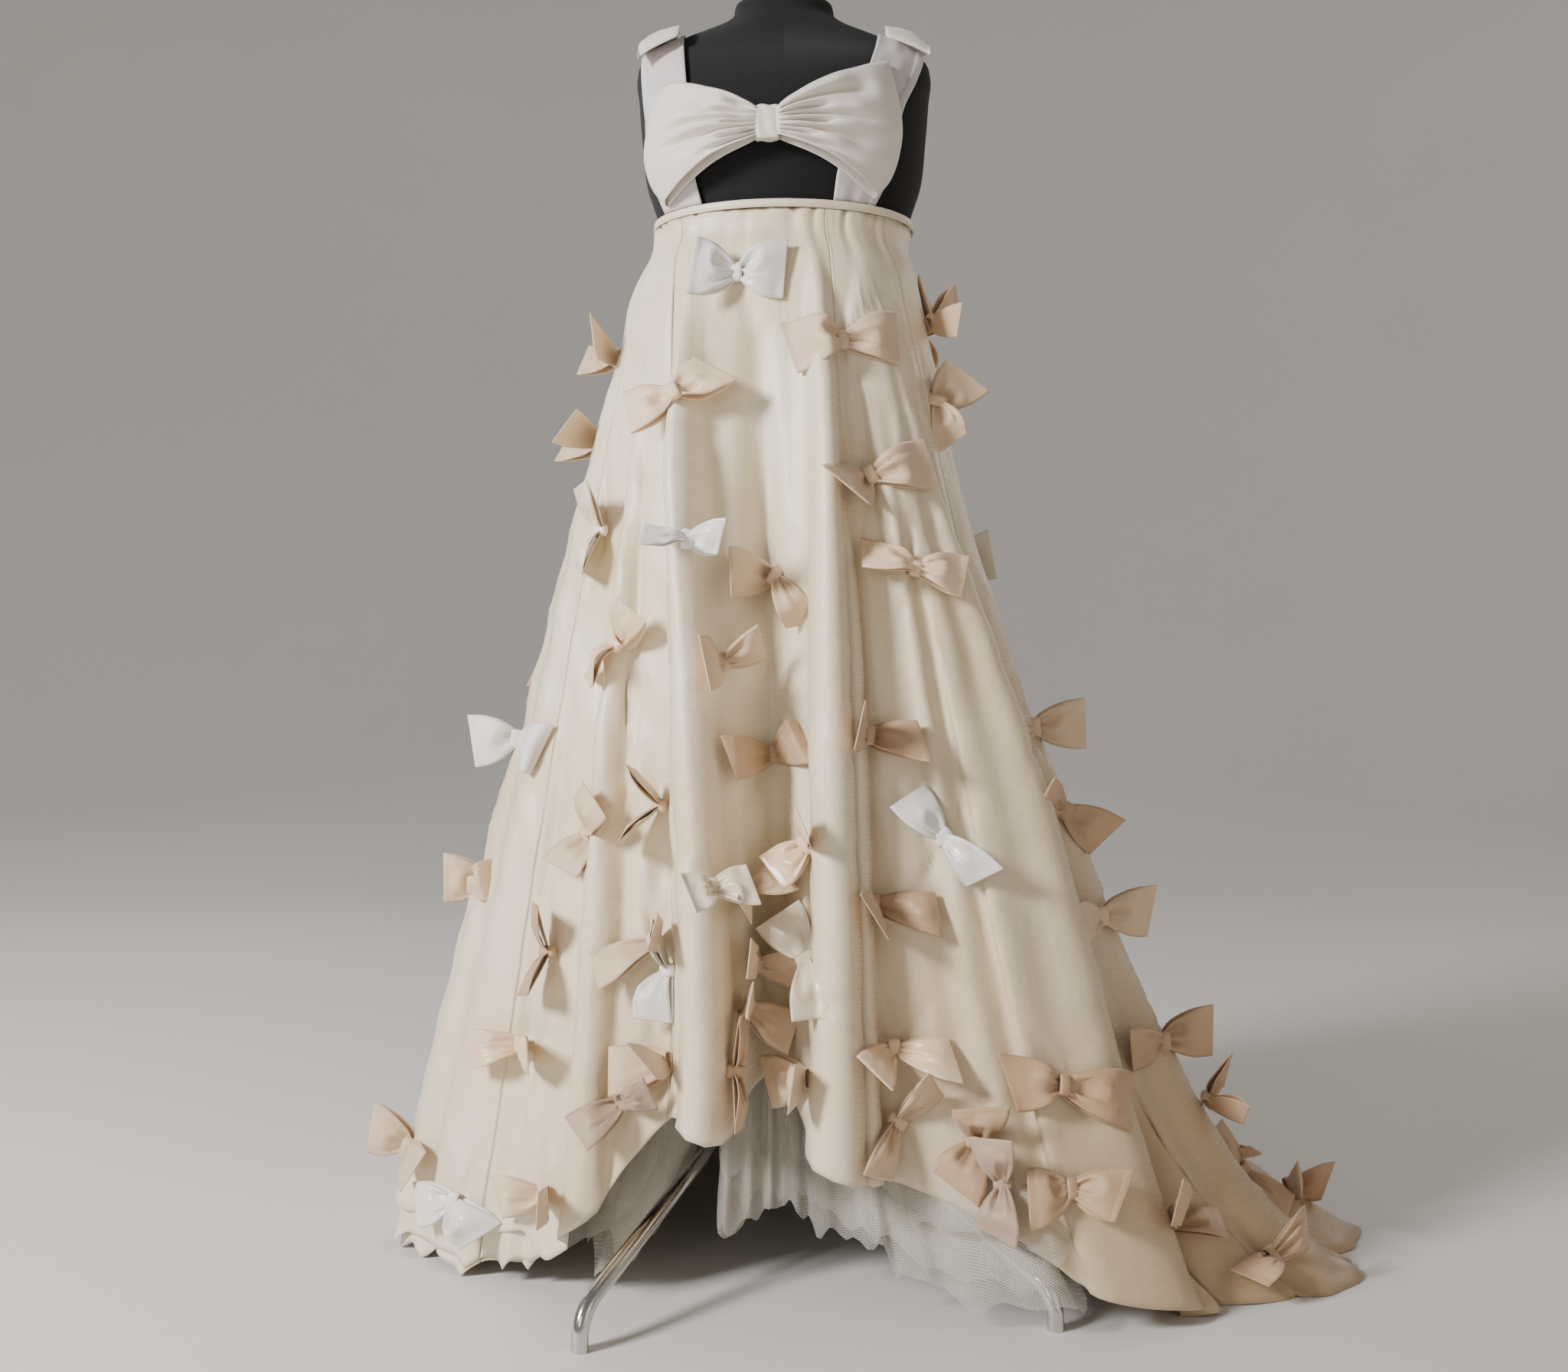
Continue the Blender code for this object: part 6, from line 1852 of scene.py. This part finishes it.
class SCENE_OT_dress_stage(bpy.types.Operator):
    """Makes the floor, the backdrop, the lights and the camera"""

    bl_idname = "scene.dress_stage"
    bl_label = "Stage, lights and camera"

    def execute(self, context):
        floor = painted_floor("pale_studio_paint", tuple(context.scene.dress_colours.floor))
        # A round cove: flat floor that turns up into a wall all round
        section = [(0.01, 0.0), (1.0, 0.0), (2.0, 0.0), (FLOOR_RADIUS, 0.0)]
        for turn in np.radians(np.linspace(0, 90, 25)[1:]):
            reach = FLOOR_RADIUS + COVE_RADIUS * math.sin(turn)
            section.append((reach, COVE_RADIUS - COVE_RADIUS * math.cos(turn)))
        section.append((FLOOR_RADIUS + COVE_RADIUS, WALL_HEIGHT))
        turns = np.radians(np.arange(0, 360, 5))
        points = np.array(
            [
                [(reach * math.cos(turn), reach * math.sin(turn), height) for turn in turns]
                for reach, height in section
            ]
        )
        grid = cloth_grid(points, ring=True)
        cove = grids_object("studio_cove", [grid], floor)
        close_ends(cove.data, list(range(len(turns))))
        camera = bpy.data.cameras.new("camera")
        camera.sensor_width = SENSOR
        camera.lens = SENSOR * FOCAL_PIXELS / IMAGE_WIDTH
        viewer = bpy.data.objects.new("camera", camera)
        viewer.location = (AXIS[0], AXIS[1] - CAMERA_DISTANCE, CAMERA_HEIGHT)
        viewer.rotation_euler = (math.pi / 2, 0, 0)
        context.scene.collection.objects.link(viewer)
        context.scene.camera = viewer
        target = Vector((AXIS[0], AXIS[1], LAMPS_AIM))
        for name, place, size, power, tint in LAMPS:
            lamp = bpy.data.lights.new(name, "AREA")
            lamp.size = size
            lamp.energy = power
            lamp.color = tint
            holder = bpy.data.objects.new(name, lamp)
            holder.location = Vector(place) + Vector((AXIS[0], AXIS[1], 0))
            holder.rotation_euler = (target - holder.location).to_track_quat("-Z", "Y").to_euler()
            context.scene.collection.objects.link(holder)
        world = bpy.data.worlds.new("studio_air")
        world.use_nodes = True
        air = world.node_tree.nodes["Background"].inputs
        air["Color"].default_value = (*linear("EDEFF2"), 1)
        air["Strength"].default_value = AIR_STRENGTH
        context.scene.world = world
        return {"FINISHED"}


PIECES = (
    OBJECT_OT_dress_form,
    OBJECT_OT_dress_stand,
    OBJECT_OT_dress_petticoat,
    OBJECT_OT_dress_skirt,
    OBJECT_OT_dress_binding,
    OBJECT_OT_dress_straps,
    OBJECT_OT_dress_bust_bow,
    OBJECT_OT_dress_shoulder_bows,
    OBJECT_OT_dress_small_bows,
    OBJECT_OT_dress_stitches,
    SCENE_OT_dress_stage,
)


class VIEW3D_PT_dress(bpy.types.Panel):
    """Lists the pieces of the dress"""

    bl_label = "Wedding dress"
    bl_space_type = "VIEW_3D"
    bl_region_type = "UI"
    bl_category = "Dress"

    def draw(self, context):
        for name in DressSizes.__annotations__:
            self.layout.prop(context.scene.dress_sizes, name)
        for name in DressColours.__annotations__:
            self.layout.prop(context.scene.dress_colours, name)
        for piece in PIECES:
            self.layout.operator(piece.bl_idname)


def register():
    for group in (DressSizes, DressColours, *PIECES, VIEW3D_PT_dress):
        bpy.utils.register_class(group)
    bpy.types.Scene.dress_sizes = bpy.props.PointerProperty(type=DressSizes)
    bpy.types.Scene.dress_colours = bpy.props.PointerProperty(type=DressColours)


def unregister():
    del bpy.types.Scene.dress_colours
    del bpy.types.Scene.dress_sizes
    for group in (VIEW3D_PT_dress, *PIECES[::-1], DressColours, DressSizes):
        bpy.utils.unregister_class(group)


def main():
    register()
    bpy.ops.object.dress_form()
    bpy.ops.object.dress_stand()
    bpy.ops.object.dress_petticoat()
    bpy.ops.object.dress_skirt()
    bpy.ops.object.dress_binding()
    bpy.ops.object.dress_straps()
    bpy.ops.object.dress_bust_bow()
    bpy.ops.object.dress_shoulder_bows()
    bpy.ops.object.dress_small_bows()
    bpy.ops.object.dress_stitches()
    bpy.ops.scene.dress_stage()


if __name__ == "__main__":
    main()
